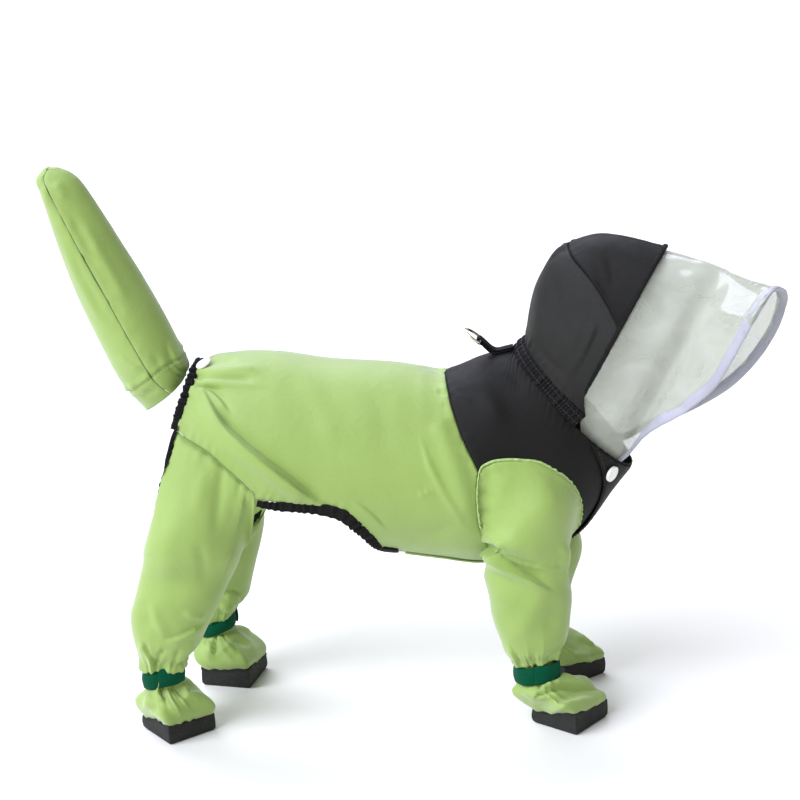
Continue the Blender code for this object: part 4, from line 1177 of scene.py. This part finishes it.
def casing(name, centre, normals, across, half_width, half_thick, look, pitch=4.0, depth=0.45,
           seed=1, grooves=(), corners=22, taper=None, slot=None):
    """Gathered casing: a flat closed tube along a line, ruffled across its length.

    grooves are the places across the width, from -1 to 1, where stitching draws it in. With a
    slot it stands for the CAD node of its name. Gives back its line, outside and width.
    """
    run = run_of(centre)
    fine = np.linspace(0, run[-1], max(int(run[-1] / pitch * 6), 12))
    mid, out, side = (sampled(fine, run, values) for values in (centre, normals, across))
    out, side = unit(out), unit(side)
    ruffle = line_noise(fine, pitch, seed)
    sway = line_noise(fine, pitch * 2.3, seed + 1)
    a = np.arange(corners) * 2 * math.pi / corners
    width = power(np.cos(a), 0.75)
    thick = power(np.sin(a), 0.75)
    drawn = np.ones(corners)
    for groove in grooves:
        drawn -= 0.55 * bell(width, 0.16, groove)
    size = half_thick * (1 + depth * ruffle[:, None] * (1 - 0.3 * np.abs(width)[None, :]))
    wide = half_width * (1 + 0.10 * depth * sway[:, None])
    if taper is not None:
        ends = np.interp(fine / run[-1], *taper)[:, None]
        size, wide = size * (0.4 + 0.6 * ends), wide * ends
    lean = 0.35 * half_thick * ruffle[:, None]
    points = (mid[:, None, :] + side[:, None, :] * (wide * width)[..., None]
              + out[:, None, :] * (size * thick * drawn + lean)[..., None])
    thing = grid_mesh(name, points, look, closed=True)
    with reworked(thing) as work:
        count = len(work.verts)
        work.faces.new([work.verts[k] for k in range(corners)])
        work.faces.new([work.verts[count - 1 - k] for k in range(corners)])
    piece(thing, *([name] if slot else []), slot=slot)
    return mid, out, side


def body_edge(row, angle):
    points = cloth_body(row, angle)
    normals = unit(moved_out(body, row, angle, np.ones(np.shape(row))) - body(row, angle))
    return points, normals


def along_of(path):
    return unit(np.gradient(path, axis=0))


def make_bindings():
    last = math.radians(HEM["reach"][0])
    angle = np.linspace(-last, last, 120)
    edge, normals = body_edge(np.zeros(120), angle)
    away = unit(np.cross(normals, along_of(edge)))
    centre = edge + away * (BINDING_WIDTH / 2 - 0.8) - normals * 0.4
    casing("rear_binding", centre, normals, away, BINDING_WIDTH / 2, 2.0, "binding", seed=61,
           grooves=(-0.55,), depth=0.5, taper=((0.0, 0.12, 0.88, 1.0), (0.6, 1.0, 1.0, 0.6)),
           slot="binding")
    row_span = np.linspace(HEM["row"][SEWN_ROWS - 1] + 0.05, 3.98, 110)
    for side, word in ((-1, "right"), (1, "left")):
        k = np.interp(row_span, HEM["row"], np.arange(len(HEM["row"])))
        reach = np.radians(np.clip(spline(HEM["reach"], k), 0, 179.5))
        edge, normals = body_edge(row_span, side * reach)
        away = unit(np.cross(normals, along_of(edge))) * side
        half = BELLY_BINDING_WIDTH / 2
        centre = edge + away * (half - 1.6) - normals * 0.1
        casing("belly_binding_" + word, centre, normals, away, half, 1.7, "binding", seed=71 + side,
               grooves=(-0.6, 0.55), depth=0.2, pitch=5.0, slot="binding",
               taper=((0.0, 0.15, 0.45, 0.75, 1.0), (0.55, 0.85, 1.15, 0.9, 0.6)))


def rim_frame(name, angle, down):
    """Edge of a leg's own cloth with its outward and upward directions."""
    kind, side, shift, _, _ = LEGS[name]
    columns = leg_columns(kind, side, shift, angle)
    edge = columns[0]
    rise = edge - spline(columns, np.full(1, down))[0]
    return edge, unit(np.cross(along_of(edge), rise)) * side, unit(rise)


def make_leg_bindings():
    for word, side in (("right", -1), ("left", 1)):
        angle = np.linspace(144.5, 326.0, 110)
        edge, normals, away = rim_frame("hind_" + word, angle, 0.35)
        sunk = smooth_step((angle - 160.0) / 22.0) * smooth_step((262.0 - angle) / 22.0)
        centre = edge + away * (BINDING_WIDTH / 2 - 0.6) - normals * (0.5 + 2.6 * sunk)[:, None]
        casing("leg_binding_" + word, centre, normals, away, BINDING_WIDTH / 2 - 0.4, 1.6, "binding",
               seed=81 + side, grooves=(-0.5,), depth=0.4, slot="binding",
               taper=((0.0, 0.05, 0.9, 1.0), (0.8, 1.0, 1.0, 0.6)))


def neck_facing():
    top, low = body(NECK_ROW, 0.0), body(NECK_ROW, math.pi)
    facing = unit(np.cross(unit(low - top), np.array([0.0, 1.0, 0.0])))
    return facing if facing[0] > 0 else -facing


def make_neck_band():
    facing = neck_facing()
    angle = np.radians(np.linspace(-91, 91, 200))
    edge = body(np.full(200, float(NECK_ROW)), angle)
    middle = (body(NECK_ROW, 0.0) + body(NECK_ROW, math.pi)) / 2
    normals = unit(edge - middle)
    centre = edge + facing * BAND_WIDTH / 2 - normals * 0.3
    across = np.broadcast_to(facing, centre.shape)
    mid, out, side = casing("neck_band", centre, normals, across, BAND_WIDTH / 2 + 1.0, 1.6,
                            "binding", pitch=3.2, depth=0.2, seed=91, grooves=(-0.45, 0.45),
                            corners=30, slot="binding")
    for place, word in ((-0.5, "a"), (0.5, "b")):
        path = mid + side * place * (BAND_WIDTH / 2 - 0.3)
        stitch_row("neck_stitches_" + word, path, out, 1.15, "dark_thread", pitch=2.8)


# ---------------------------------------------------------------- hood and visor

def make_hood():
    last = len(HOOD["crown_x"]) - 1
    angle = np.concatenate([[-90.0, -88.0], np.linspace(-86, 86, 96), [88.0, 90.0]])
    end = hood_seam(angle) + 0.03
    row = -0.03 + (end + 0.03) * np.linspace(0, 1, 62)[:, None]
    back = hood(row, np.broadcast_to(angle, row.shape))
    field = seam_relief(back, ["last"], 101, roll=0.9, pucker=0.35)
    d = edge_distance(back, ["first"])
    field += 0.6 * bell(d, 5.0, 6.0) * line_noise(lengths(back, 1), 8.0, 103)
    shaped = cloth("hood_back", back, "hood_cloth", "hood_cloth", field, seed=104, noise=0.5)
    normals = grid_normals(shaped)
    stitch_row("hood_stitches_a", shaped[-5, 14:-14], normals[-5, 14:-14], 0.1, "dark_thread")
    angle = np.linspace(0.5 - HOOD_SEAM_END, HOOD_SEAM_END - 0.5, 84)
    start = hood_seam(angle) + 0.012
    row = start + (last - 0.02 - start) * np.linspace(0, 1, 40)[:, None]
    top = hood(row, np.broadcast_to(angle, row.shape))
    field = seam_relief(top, ["first"], 111, roll=0.5, pucker=0.3)
    field += 0.8 * bell(edge_distance(top, ["first"]), 1.6, 2.4)
    cloth("hood_top", top, "charcoal", "charcoal", field, seed=114, noise=0.4)
    angle = np.linspace(-87, 87, 150)
    row, lift = np.full(150, last - 0.08), np.full(150, 0.5)
    edge = moved_out(hood, row, angle, lift)
    inner = moved_out(hood, np.full(150, last - 0.4), angle, lift)
    casing("hood_binding", edge, unit(edge - hood(row, angle)), unit(edge - inner), 2.1, 1.2, "binding",
           pitch=9.0, depth=0.12, seed=121, corners=14, slot="binding")


def visor_edge():
    """Free edge of the visor, from the near foot at the throat over the muzzle to the far one."""
    last = len(VISOR["crown_x"]) - 1
    side = np.linspace(VISOR_THROAT - 0.15, last, 70)
    near = visor(side, np.full(70, -90.0))
    over = visor(np.full(61, float(last)), np.linspace(-90, 90, 61))[1:-1]
    far = visor(side[::-1], np.full(70, 90.0))
    return np.concatenate([near, over, far])


def make_visor():
    last = len(VISOR["crown_x"]) - 1
    t = np.linspace(0, last, 84)
    angle = np.linspace(-90, 90, 75)
    row, around = np.broadcast_arrays(t[:, None], angle[None, :])
    points = visor(row, around)
    field = 0.5 * np.exp(-edge_distance(points, ["last"]) / 9.0) * line_noise(lengths(points, 1), 16, 131)
    field += 0.4 * np.exp(-edge_distance(points, ["left", "right"]) / 9.0) * line_noise(
        lengths(points, 0), 17, 132)
    cloth("visor", points, "clear_sheet", "clear_sheet", field, wall=SHEET, seed=133, noise=0.7,
          noise_size=80.0)
    edge = visor_edge()
    run = run_of(edge)
    edge = smoothed(sampled(np.linspace(0, run[-1], 300), run, edge), 24)
    inner = visor_inner(edge, points)
    normals = unit(np.cross(along_of(edge), inner - edge))
    centre_of_visor = points.reshape(-1, 3).mean(0)
    sign = np.sign(np.sum(normals * (edge - centre_of_visor), -1, keepdims=True))
    normals = normals * np.where(sign == 0, 1, sign)
    away = unit(edge - inner)
    centre = edge - away * (TRIM_WIDTH / 2 - 1.0)
    casing("visor_trim", centre, normals, away, TRIM_WIDTH / 2, 1.5, "soft_edge", pitch=22.0,
           depth=0.05, seed=141, grooves=(-0.72,), corners=20, slot="soft_edge")


def visor_inner(edge, points):
    """For each place on the edge, a place further in on the visor."""
    inner = points[6:-9, 8:-8].reshape(-1, 3)
    found = []
    for spot in edge:
        away = np.linalg.norm(inner - spot, axis=1)
        weight = np.exp(-(away - away.min()) / 3.0)
        found.append((inner * weight[:, None]).sum(0) / weight.sum())
    return smoothed(np.array(found), 20)


# ---------------------------------------------------------------- tail sleeve

def make_tail():
    last = len(TAIL["left_x"]) - 1
    forward = unit(np.array([0.9, 0.0, 0.43]))
    t = np.linspace(0, last, 190)
    turn = np.concatenate([[0.3, 3.0], np.linspace(7, 173, 46), [177.0, 179.7]])
    for name, first, shift, seed in (("tail_front", 0.0, 0.12, 151), ("tail_rear", -180.0, -0.12, 161)):
        row, around = np.broadcast_arrays(t[:, None], first + turn[None, :])
        points = tail(row, around) + forward * shift
        seam = tail(np.full(len(turn), float(last)), np.zeros(len(turn)))
        seam[:, 1] = points[-1, :, 1]
        rise = unit(points[-1].mean(0) - points[-4].mean(0))
        tip = [points[-1] + (seam - points[-1]) * f + rise * 0.9 * math.sin(f * math.pi / 2)
               for f in (0.15, 0.35, 0.6, 0.85, 1.0)]
        points = np.concatenate([points, tip])
        field = seam_relief(points, ["left", "right"], seed, roll=0.45, pucker=0.3, size=15.0)
        d = lengths(points, 0)
        field -= 1.5 * bell(d, 1.0, 22.0)
        field += 0.6 * bell(d, 3.0, 25.0) * (1 + line_noise(lengths(points, 1), 14, seed + 3))
        shaped = cloth(name, points, "green", "green", field, flip=True, seed=seed + 5, noise=0.3,
                       noise_size=60.0)
        normals = grid_normals(shaped, flip=True)
        ring = int(np.argmin(np.abs(d[:, 25] - 19.0)))
        stitch_row(name + "_stitches", shaped[ring, 2:-2], normals[ring, 2:-2], 0.1, "green_thread")
    points, _ = strip(TAIL_TAB, -6.0, 40, 9, 22)
    field = seam_relief(points, ["left", "right"], 171, roll=0.3, pucker=0.2)
    cloth("tail_tab", points, "green_trim", "green", field, wall=1.1, noise=0.15)


# ---------------------------------------------------------------- legs and boots

def pleats(angle, count, seed):
    """Sharp uneven pleats round a leg, between about -1 and 1."""
    random = np.random.RandomState(seed)
    a = np.radians(angle)
    warp = sum(random.uniform(0.15, 0.4) * np.sin(k * a + random.uniform(0, 6.3)) for k in (1, 2, 3))
    wave = np.abs(np.sin((count * (a + warp)) / 2 + random.uniform(0, 3)))
    depth = 0.75 + 0.35 * np.sin(2 * a + random.uniform(0, 6.3)) + 0.2 * np.sin(5 * a + 1.0)
    return (1.0 - 2.0 * wave ** 0.8) * depth


LEG_FINE = 180          # columns of the boots and straps
# Columns of each leg, its rows above the strap and its rows near it.
LEG_GRID = {"front_right": (200, 88, 40), "front_left": (110, 62, 30), "hind_right": (150, 80, 38),
            "hind_left": (110, 62, 30)}
# Fullness in front of the elbow and its height.
ELBOW = {"front_right": (-3.6, -172.0), "front_left": (6.0, -192.0)}
# Droop and bulge of the cloth over each strap.
BAG = {"front_right": (1.2, 1.0), "front_left": (1.6, 1.4), "hind_right": (2.8, 4.4),
       "hind_left": (3.4, 2.8)}


def make_legs():
    for number, (name, (kind, side, shift, _, _)) in enumerate(LEGS.items()):
        fine, upper, lower = LEG_GRID[name]
        angle = round_turn(fine)
        columns = leg_columns(kind, side, shift, angle)
        rings = len(columns) - 1
        t = np.concatenate([np.linspace(0, rings - 4, upper), np.linspace(rings - 4, rings, lower)[1:]])
        points = spline(columns, t)
        down = lengths(points, 0)
        seed = 200 + 10 * number
        above = down[-1:] - down - STRAP_WIDTH / 2
        fullness, height = ELBOW.get(name, (0.0, 0.0))
        at_elbow = bell(half_turn(angle), 42.0) * bell(points[..., 2], 27.0, height)
        droop, bulge = BAG[name]
        uneven = 0.8 + 0.3 * np.sin(2 * np.radians(angle) + seed) + 0.2 * np.sin(3 * np.radians(angle))
        hang = bell(above, 4.2, 5.0) * uneven
        points[..., 2] -= droop * hang
        close = bell(np.maximum(above - 5.0, 0), 9.0) * smooth_step(above / 4.0)
        wide = bell(np.maximum(above - 6.0, 0), 22.0) * smooth_step(above / 6.0)
        under = 1.0 - smooth_step(above / 5.0)
        close = close * (1 - 0.55 * np.clip(hang, 0, 1))
        field = 2.0 * close * pleats(angle, 22, seed) + 1.2 * wide * pleats(angle, 9, seed + 1)
        field += 0.9 * under * pleats(angle, 26, seed + 2)
        field += 1.6 * bell(above, 3.5, 5.5) + bulge * hang
        field += fullness * at_elbow
        top = lengths(points, 0)
        field -= 0.6 * bell(top, 1.4)
        field += 0.8 * bell(top, 2.0, 3.0)
        wrap = 2 * math.pi * 40 * angle / 360.0
        ring_noise = np.sin(wrap * 0.35 + seed) * 0.5 + np.sin(wrap * 0.61 + 1.3) * 0.5
        field += 0.35 * np.exp(-np.maximum(top - 2, 0) / 8.0) * ring_noise[None, :]
        cloth("leg_" + name, points, "green", "green", field, closed=True, flip=(side < 0),
              seed=seed + 3, noise=0.45, noise_size=55.0)


# Raised edge of the sewn seam along each leg's rim: word, first and last degree, steps, seed,
# radius and look. The sleeve welt's lighter green is a painted highlight along the cap seam.
WELTS = {"front": ("sleeve", -40.0, 220.0, 150, 5, 1.1, "green_painted_highlight"),
         "hind": ("hip", 1.0, 143.0, 90, 6, 0.45, "green_trim")}


def make_welts():
    for name, (kind, *_) in LEGS.items():
        word, first, last, steps, seed, radius, look = WELTS[kind]
        edge, normals, away = rim_frame(name, np.linspace(first, last, steps), 0.3)
        casing(word + "_seam_" + name, edge + normals * 0.2, normals, away, radius, radius * 0.8, look,
               pitch=7.0, depth=0.18, seed=seed, corners=10)


# Height added to the sole's upper edge at places round each foot, in degrees from the front.
CUP_TOP = {
    "front_right": ((189, -4.6), (279, 3.2), (9, -0.8)),
    "front_left": ((175, -1.5), (265, 2.6), (355, -1.5)),
    "hind_right": ((175, -5.0), (265, 0.8), (355, -1.6)),
    "hind_left": ((213, -0.6), (303, 2.8), (33, -1.8)),
}


def cup_top(name, angle):
    """Height of a sole's upper edge over the floor."""
    height = np.full(np.shape(angle), SOLE_HEIGHT)
    for place, rise in CUP_TOP[name]:
        height += rise * bell(half_turn(angle - place), 32.0)
    return height


def box_radius(angle, side, n):
    """Distance from the middle of a square to its side, with sharper corners for a larger n."""
    a = np.radians(angle)
    return side / 2 / (np.abs(np.cos(a)) ** n + np.abs(np.sin(a)) ** n) ** (1 / n)


def foot(name, count=LEG_FINE):
    """Ankle ring under the strap, centre and turn of the sole, and the foot's side."""
    kind, side, shift, centre, turn = LEGS[name]
    rings = leg_rings(kind)
    point = leg_ring(rings, len(rings["z"]) - 1, round_turn(count))
    ring = np.stack([point[:, 0] + shift, -side * point[:, 1], point[:, 2]], 1)
    return ring, np.array([centre[0], centre[1], 0.0]), turn, side


def make_boots():
    t = np.linspace(0, len(BOOT["down"]) - 1, 54)
    down, to_sole, fullness = (spline(BOOT[k], t) for k in BOOT)
    to_sole = np.clip(to_sole, 0, 1)
    for number, name in enumerate(LEGS):
        ring, centre, turn, side = foot(name, LEG_FINE if name.endswith("right") else LEG_FINE // 2)
        middle = ring.mean(0)
        out = ring - middle
        a = np.arctan2(out[:, 1], out[:, 0])
        radius = np.hypot(out[:, 0], out[:, 1])
        edge = box_radius(np.degrees(a) - turn, SOLE_SIDE, 12.0)
        spot = middle + (centre - middle) * smooth_step(down * 1.3 - 0.3)[:, None]
        size = (radius + (edge - radius) * to_sole[:, None]) * fullness[:, None]
        top = ring[:, 2] - 2 * GAP
        bottom = FLOOR_Z + cup_top(name, np.degrees(a)) + GAP
        points = np.stack([spot[:, None, 0] + size * np.cos(a), spot[:, None, 1] + size * np.sin(a),
                           top + (bottom - top) * down[:, None]], -1)
        seed = 300 + 10 * number
        angle = np.degrees(a)
        under = smooth_step((down - 0.16) / 0.18)[:, None]
        fade = bell(np.maximum(down - 0.42, 0), 0.20)[:, None]
        field = 0.7 * under * fade * pleats(angle, 13, seed)
        field += 0.8 * (1 - under) * pleats(angle, 24, seed + 2)
        wide = bell(np.maximum(down - 0.55, 0), 0.22)[:, None]
        field += 1.0 * under * wide * pleats(angle, 6, seed + 1)
        field += 0.5 * bell(1 - down[:, None], 0.08) * line_noise(
            np.broadcast_to(angle, field.shape), 26.0, seed + 4)
        cloth("boot_" + name, points, "green", "green", field, closed=True, flip=(side < 0),
              seed=seed + 5, noise=0.5, noise_size=26.0)


def close_bottom(work, first, count, centre):
    """Flat underside of a sole, in two rings and a last face."""
    ring = [work.verts[first + k] for k in range(count)]
    for size in (0.9, 0.45):
        inner = [work.verts.new(Vector(((v.co.x - centre[0]) * size + centre[0],
                                        (v.co.y - centre[1]) * size + centre[1],
                                        FLOOR_Z * MM))) for v in ring]
        for k in range(count):
            n = (k + 1) % count
            work.faces.new((ring[k], ring[n], inner[n], inner[k]))
        ring = inner
    work.faces.new(ring)


def make_soles():
    """Cup soles: flat sides that meet at stitched corners, with a rim and a flat bottom."""
    spread = 45.0 * np.sin(np.linspace(-1, 1, 31)[:-1] * math.pi / 2)
    angle = np.concatenate([quarter + spread for quarter in (0.0, 90.0, 180.0, 270.0)]) % 360.0
    count = len(angle)
    corner = np.abs(angle % 90.0 - 45.0)
    for number, name in enumerate(LEGS):
        _, centre, turn, _ = foot(name)
        tall = cup_top(name, angle + turn)
        # Levels down the side: share of the height, rise in mm and size.
        levels = [(1.0, 0.4, 0.985), (1.0, 0.8, 1.0), (1.0, 0.3, 1.02)]
        levels += [(f, 0.0, 1.0 + 0.02 * math.sin(math.pi * f)) for f in np.linspace(0.94, 0.08, 14)]
        levels += [(0.0, 0.5, 0.99), (0.0, 0.08, 0.975), (0.0, 0.0, 0.95)]
        rows = []
        for share, rise, size in levels:
            radius = box_radius(angle, SOLE_SIDE, 24.0) * size
            radius = radius + 0.7 * bell(corner, 1.8) * (0.1 < share < 1.0)
            a = np.radians(angle + turn)
            rows.append(np.stack([centre[0] + radius * np.cos(a), centre[1] + radius * np.sin(a),
                                  FLOOR_Z + tall * share + rise], 1))
        points = np.array(rows)
        wobble = 0.35 * soft_noise(points, 24.0, 400 + number)
        wobble *= smooth_step((points[..., 2] - FLOOR_Z - 1.0) / 4.0)
        normals = grid_normals(points, closed=True)
        flat = normals.copy()
        flat[..., 2] = 0
        points = points - unit(flat) * wobble[..., None]
        thing = grid_mesh("sole_" + name, points, "sole", closed=True)
        with reworked(thing) as work:
            close_bottom(work, (len(levels) - 1) * count, count, centre * MM)
        solidify(thing, 1.8)
        thing.modifiers["wall"].use_rim = True
        piece(thing, "sole_" + name, slot="sole")


# Height of a strap and how far it has slipped down, where they differ from the usual.
STRAP_HEIGHTS = {"hind_left": (12.5, 1.8)}
STRAP_END = (8, 47)     # first and last column of the lapped end


def strap_points(middle, out, size, rise):
    """Rows of a strap: each is given by its distances from the ankle's middle and heights."""
    return np.array([middle + out * reach[:, None] + np.stack([0 * up, 0 * up, up], 1)
                     for reach, up in zip(size, rise)])


def make_straps():
    """Hook-and-loop strap round each ankle, with a stitched end that laps over it."""
    for number, name in enumerate(LEGS):
        ring, _, _, side = foot(name)
        middle = ring.mean(0)
        flat = (ring - middle) * np.array([1.0, 1.0, 0.0])
        reach = np.linalg.norm(flat, axis=1)
        out = unit(flat)
        up = np.linspace(0.5, -0.5, 11)
        seed = 500 + 10 * number
        angle = round_turn(LEG_FINE)
        sag = 0.5 * np.sin(np.radians(angle) * 2 + seed) + 0.4 * np.sin(np.radians(angle) * 5 + 1)
        size = reach * 1.05 + 1.6
        tall, drop = STRAP_HEIGHTS.get(name, (STRAP_WIDTH, 0.0))
        bulge = 0.9 * (1 - (2 * up) ** 2)
        points = strap_points(middle, out, [size + b for b in bulge],
                              [ring[:, 2] - middle[2] + k * tall - drop + sag for k in up])
        cloth("strap_" + name, points, "strap", "strap", closed=True, flip=(side < 0), wall=1.2,
              seed=seed, noise=0.35, noise_size=18.0)
        part = np.arange(*STRAP_END)
        lapped = part - STRAP_END[0]
        edge = 0.4 * bell(lapped, 4.5)
        height = ring[part, 2] - middle[2]
        points = strap_points(
            middle, out[part], [size[part] + (1.5 + b + edge) for b in bulge],
            [height + k * (tall + 1.0) - drop + sag[part] + lapped * 0.035 for k in up])
        shaped = cloth("strap_end_" + name, points, "strap", "strap", flip=(side < 0), wall=1.2,
                       seed=seed + 1, noise=0.2, noise_size=14.0)
        normals = grid_normals(shaped, flip=(side < 0))
        stitch_row("strap_stitches_" + name, shaped[1:-1, 3], normals[1:-1, 3], 0.1, "strap",
                   pitch=2.4, length=1.7)


# ---------------------------------------------------------------- small hard pieces

def lathe(name, profile, place, normal, look, count=48):
    """Round piece from a profile of (radius, height) points."""
    turned_to = Vector(normal).to_track_quat("Z", "Y").to_matrix()
    angle = np.arange(count) * 2 * math.pi / count
    rows = []
    for radius, height in profile:
        ring = np.stack([radius * np.cos(angle), radius * np.sin(angle), np.full(count, height)], 1)
        rows.append(ring @ np.array(turned_to).T + place)
    points = np.array(rows)
    thing = grid_mesh(name, points, look, closed=True)
    with reworked(thing) as work:
        bmesh.ops.remove_doubles(work, verts=work.verts, dist=1e-5)
    return thing


def cap_profile(radius, height):
    """Snap cap: flat underside, rolled rim, shallow dish and low dome."""
    return [(0.001, 0.0), (radius * 0.9, 0.0), (radius * 0.98, height * 0.12), (radius, height * 0.35),
            (radius * 0.97, height * 0.62), (radius * 0.9, height * 0.76), (radius * 0.82, height * 0.74),
            (radius * 0.76, height * 0.68), (radius * 0.66, height * 0.78), (radius * 0.5, height * 0.9),
            (radius * 0.3, height * 0.97), (radius * 0.12, height), (0.001, height)]


# Snaps: row and degrees on the body, lift, whether cap and socket both show, lean forward.
SNAPS = {"tail_snap": (0.32, -11.0, LAP + 0.9, False, 0.0),
         "chest_snap": (9.5, -137.0, 2 * LAP + 2.8, True, 0.45)}
CAP_HEIGHT = 2.8


def make_snap(name, row, degrees, lift, stacked, lean):
    angle = math.radians(degrees)
    here = body(row, angle)
    normal = unit(moved_out(body, row, angle, np.ones(())) - here)
    sag = 0.0
    for da, db in ((0.3, 0.0), (-0.3, 0.0), (0.0, 0.11), (0.0, -0.11)):
        around = body(row + da, angle + db)
        sag = max(sag, float((around - here) @ normal))
    place = here + normal * (lift + sag)
    normal = unit(normal + np.array([lean, 0.0, 0.0]))
    profile = cap_profile(SNAP_RADIUS, CAP_HEIGHT)
    if stacked:
        profile = [(0.001, 0.0), (SNAP_RADIUS * 0.9, 0.0), (SNAP_RADIUS * 0.97, 0.3),
                   (SNAP_RADIUS * 0.97, 1.0), (SNAP_RADIUS * 0.86, 1.25), (SNAP_RADIUS * 0.86, 1.5)]
        profile += [(r, 1.5 + h * 0.62) for r, h in cap_profile(SNAP_RADIUS, 2.4)[1:]]
    piece(lathe(name, profile, place, normal, "snap_cap"), name, slot="snap_cap")


def make_ring():
    route = [(0.0, y) for y in np.linspace(-RING_WIDTH / 2, RING_WIDTH / 2, 9)[:-1]]
    for a in np.linspace(0, math.pi, 40)[:-1]:
        route.append((RING_DEPTH * math.sin(a) ** 0.8, RING_WIDTH / 2 * math.cos(a)))
    rise = math.radians(RING_RISE)
    line = np.array([(RING_BAR[0] - out * math.cos(rise), y, RING_BAR[1] + out * math.sin(rise))
                     for out, y in route])
    for _ in range(2):
        line = (np.roll(line, 1, 0) + 6 * line + np.roll(line, -1, 0)) / 8
    along = unit(np.roll(line, -1, 0) - np.roll(line, 1, 0))
    flat = np.array([math.sin(rise), 0.0, math.cos(rise)])
    side = unit(np.cross(along, flat))
    count = 14
    a = np.arange(count) * 2 * math.pi / count
    points = (line[:, None, :] + RING_WIRE * (side[:, None, :] * np.cos(a)[None, :, None]
                                              + flat * np.sin(a)[None, :, None]))
    points = np.concatenate([points, points[:1]])
    piece(grid_mesh("d_ring_bright", points, "ring_metal", closed=True), "d_ring", slot="ring_metal")
    points, across = strip(WEBBING, 0.0, 110, 5, 16)
    ribs = 0.12 * np.cos(across[None, :] * 2 * math.pi / 2.2)
    cloth("ring_webbing_loop", points, "webbing", "webbing", np.broadcast_to(ribs, points.shape[:2]),
          stands_for="ring_webbing", wall=1.0, noise=0.1)


# ---------------------------------------------------------------- camera, light, floor

FLOOR_SIDE = 16000.0
FLOOR_STEPS = 40
# Wide soft lights: direction from the suit to the light, and strength.
SUNS = {"key": ((-0.60, -0.45, 0.66), 4.1), "top": ((-0.30, 0.65, 0.80), 2.5)}
SUN_SPREAD = 50.0
SUN_COLOUR = (0.96, 0.975, 1.2)
WORLD_STRENGTH = 0.36


def make_floor():
    grid = np.linspace(-FLOOR_SIDE / 2, FLOOR_SIDE / 2, FLOOR_STEPS)
    x, y = np.meshgrid(grid, grid, indexing="ij")
    points = np.stack([x + CAMERA_TARGET[0], y, np.full_like(x, FLOOR_Z - 0.4)], -1)
    made, nodes, links, shader = look_nodes("floor_paper")
    noise = texture(nodes, links, "ShaderNodeTexNoise", Scale=6.0, Detail=3.0)
    tone = ramp(nodes, links, noise, 0.3, 0.7, (0.76, 0.76, 0.68), (0.79, 0.79, 0.71))
    links.new(tone, shader.inputs["Base Color"])
    set_inputs(shader, Roughness=0.9)
    LOOKS["floor_paper"] = made
    grid_mesh("floor", points, "floor_paper")


def soft_sun(name, towards, strength):
    data = bpy.data.lights.new(name, "SUN")
    data.energy = strength
    data.color = SUN_COLOUR
    data.angle = math.radians(SUN_SPREAD)
    thing = bpy.data.objects.new(name, data)
    thing.rotation_euler = Vector(towards).to_track_quat("Z", "Y").to_euler()
    bpy.context.scene.collection.objects.link(thing)


def make_stage():
    make_floor()
    for name, (towards, strength) in SUNS.items():
        soft_sun(name, towards, strength)
    world = bpy.data.worlds.new("studio")
    world.use_nodes = True
    set_inputs(world.node_tree.nodes["Background"], Color=(1.0, 1.0, 1.0, 1.0), Strength=WORLD_STRENGTH)
    scene = bpy.context.scene
    scene.world = world
    scene.view_settings.view_transform = "Standard"
    data = bpy.data.cameras.new("camera")
    data.sensor_width = 36.0
    data.lens = data.sensor_width * CAMERA_DISTANCE / (FRAME_SIDE * CAMERA_SCALE)
    data.clip_end = 20.0
    thing = bpy.data.objects.new("camera", data)
    right = Vector(RIGHT * ROLL_C - UP * ROLL_S)
    up = Vector(RIGHT * ROLL_S + UP * ROLL_C)
    axes = Matrix((right, up, Vector(BACK))).transposed().to_4x4()
    thing.matrix_world = Matrix.Translation(Vector(EYE * MM)) @ axes
    scene.collection.objects.link(thing)
    scene.camera = thing


def main():
    make_looks()
    make_back_panel()
    make_yoke()
    make_flaps()
    make_bindings()
    make_leg_bindings()
    make_neck_band()
    make_hood()
    make_visor()
    make_tail()
    make_legs()
    make_welts()
    make_boots()
    make_soles()
    make_straps()
    for name, values in SNAPS.items():
        make_snap(name, *values)
    make_ring()
    make_stage()


main()

bpy.context.view_layer.update()
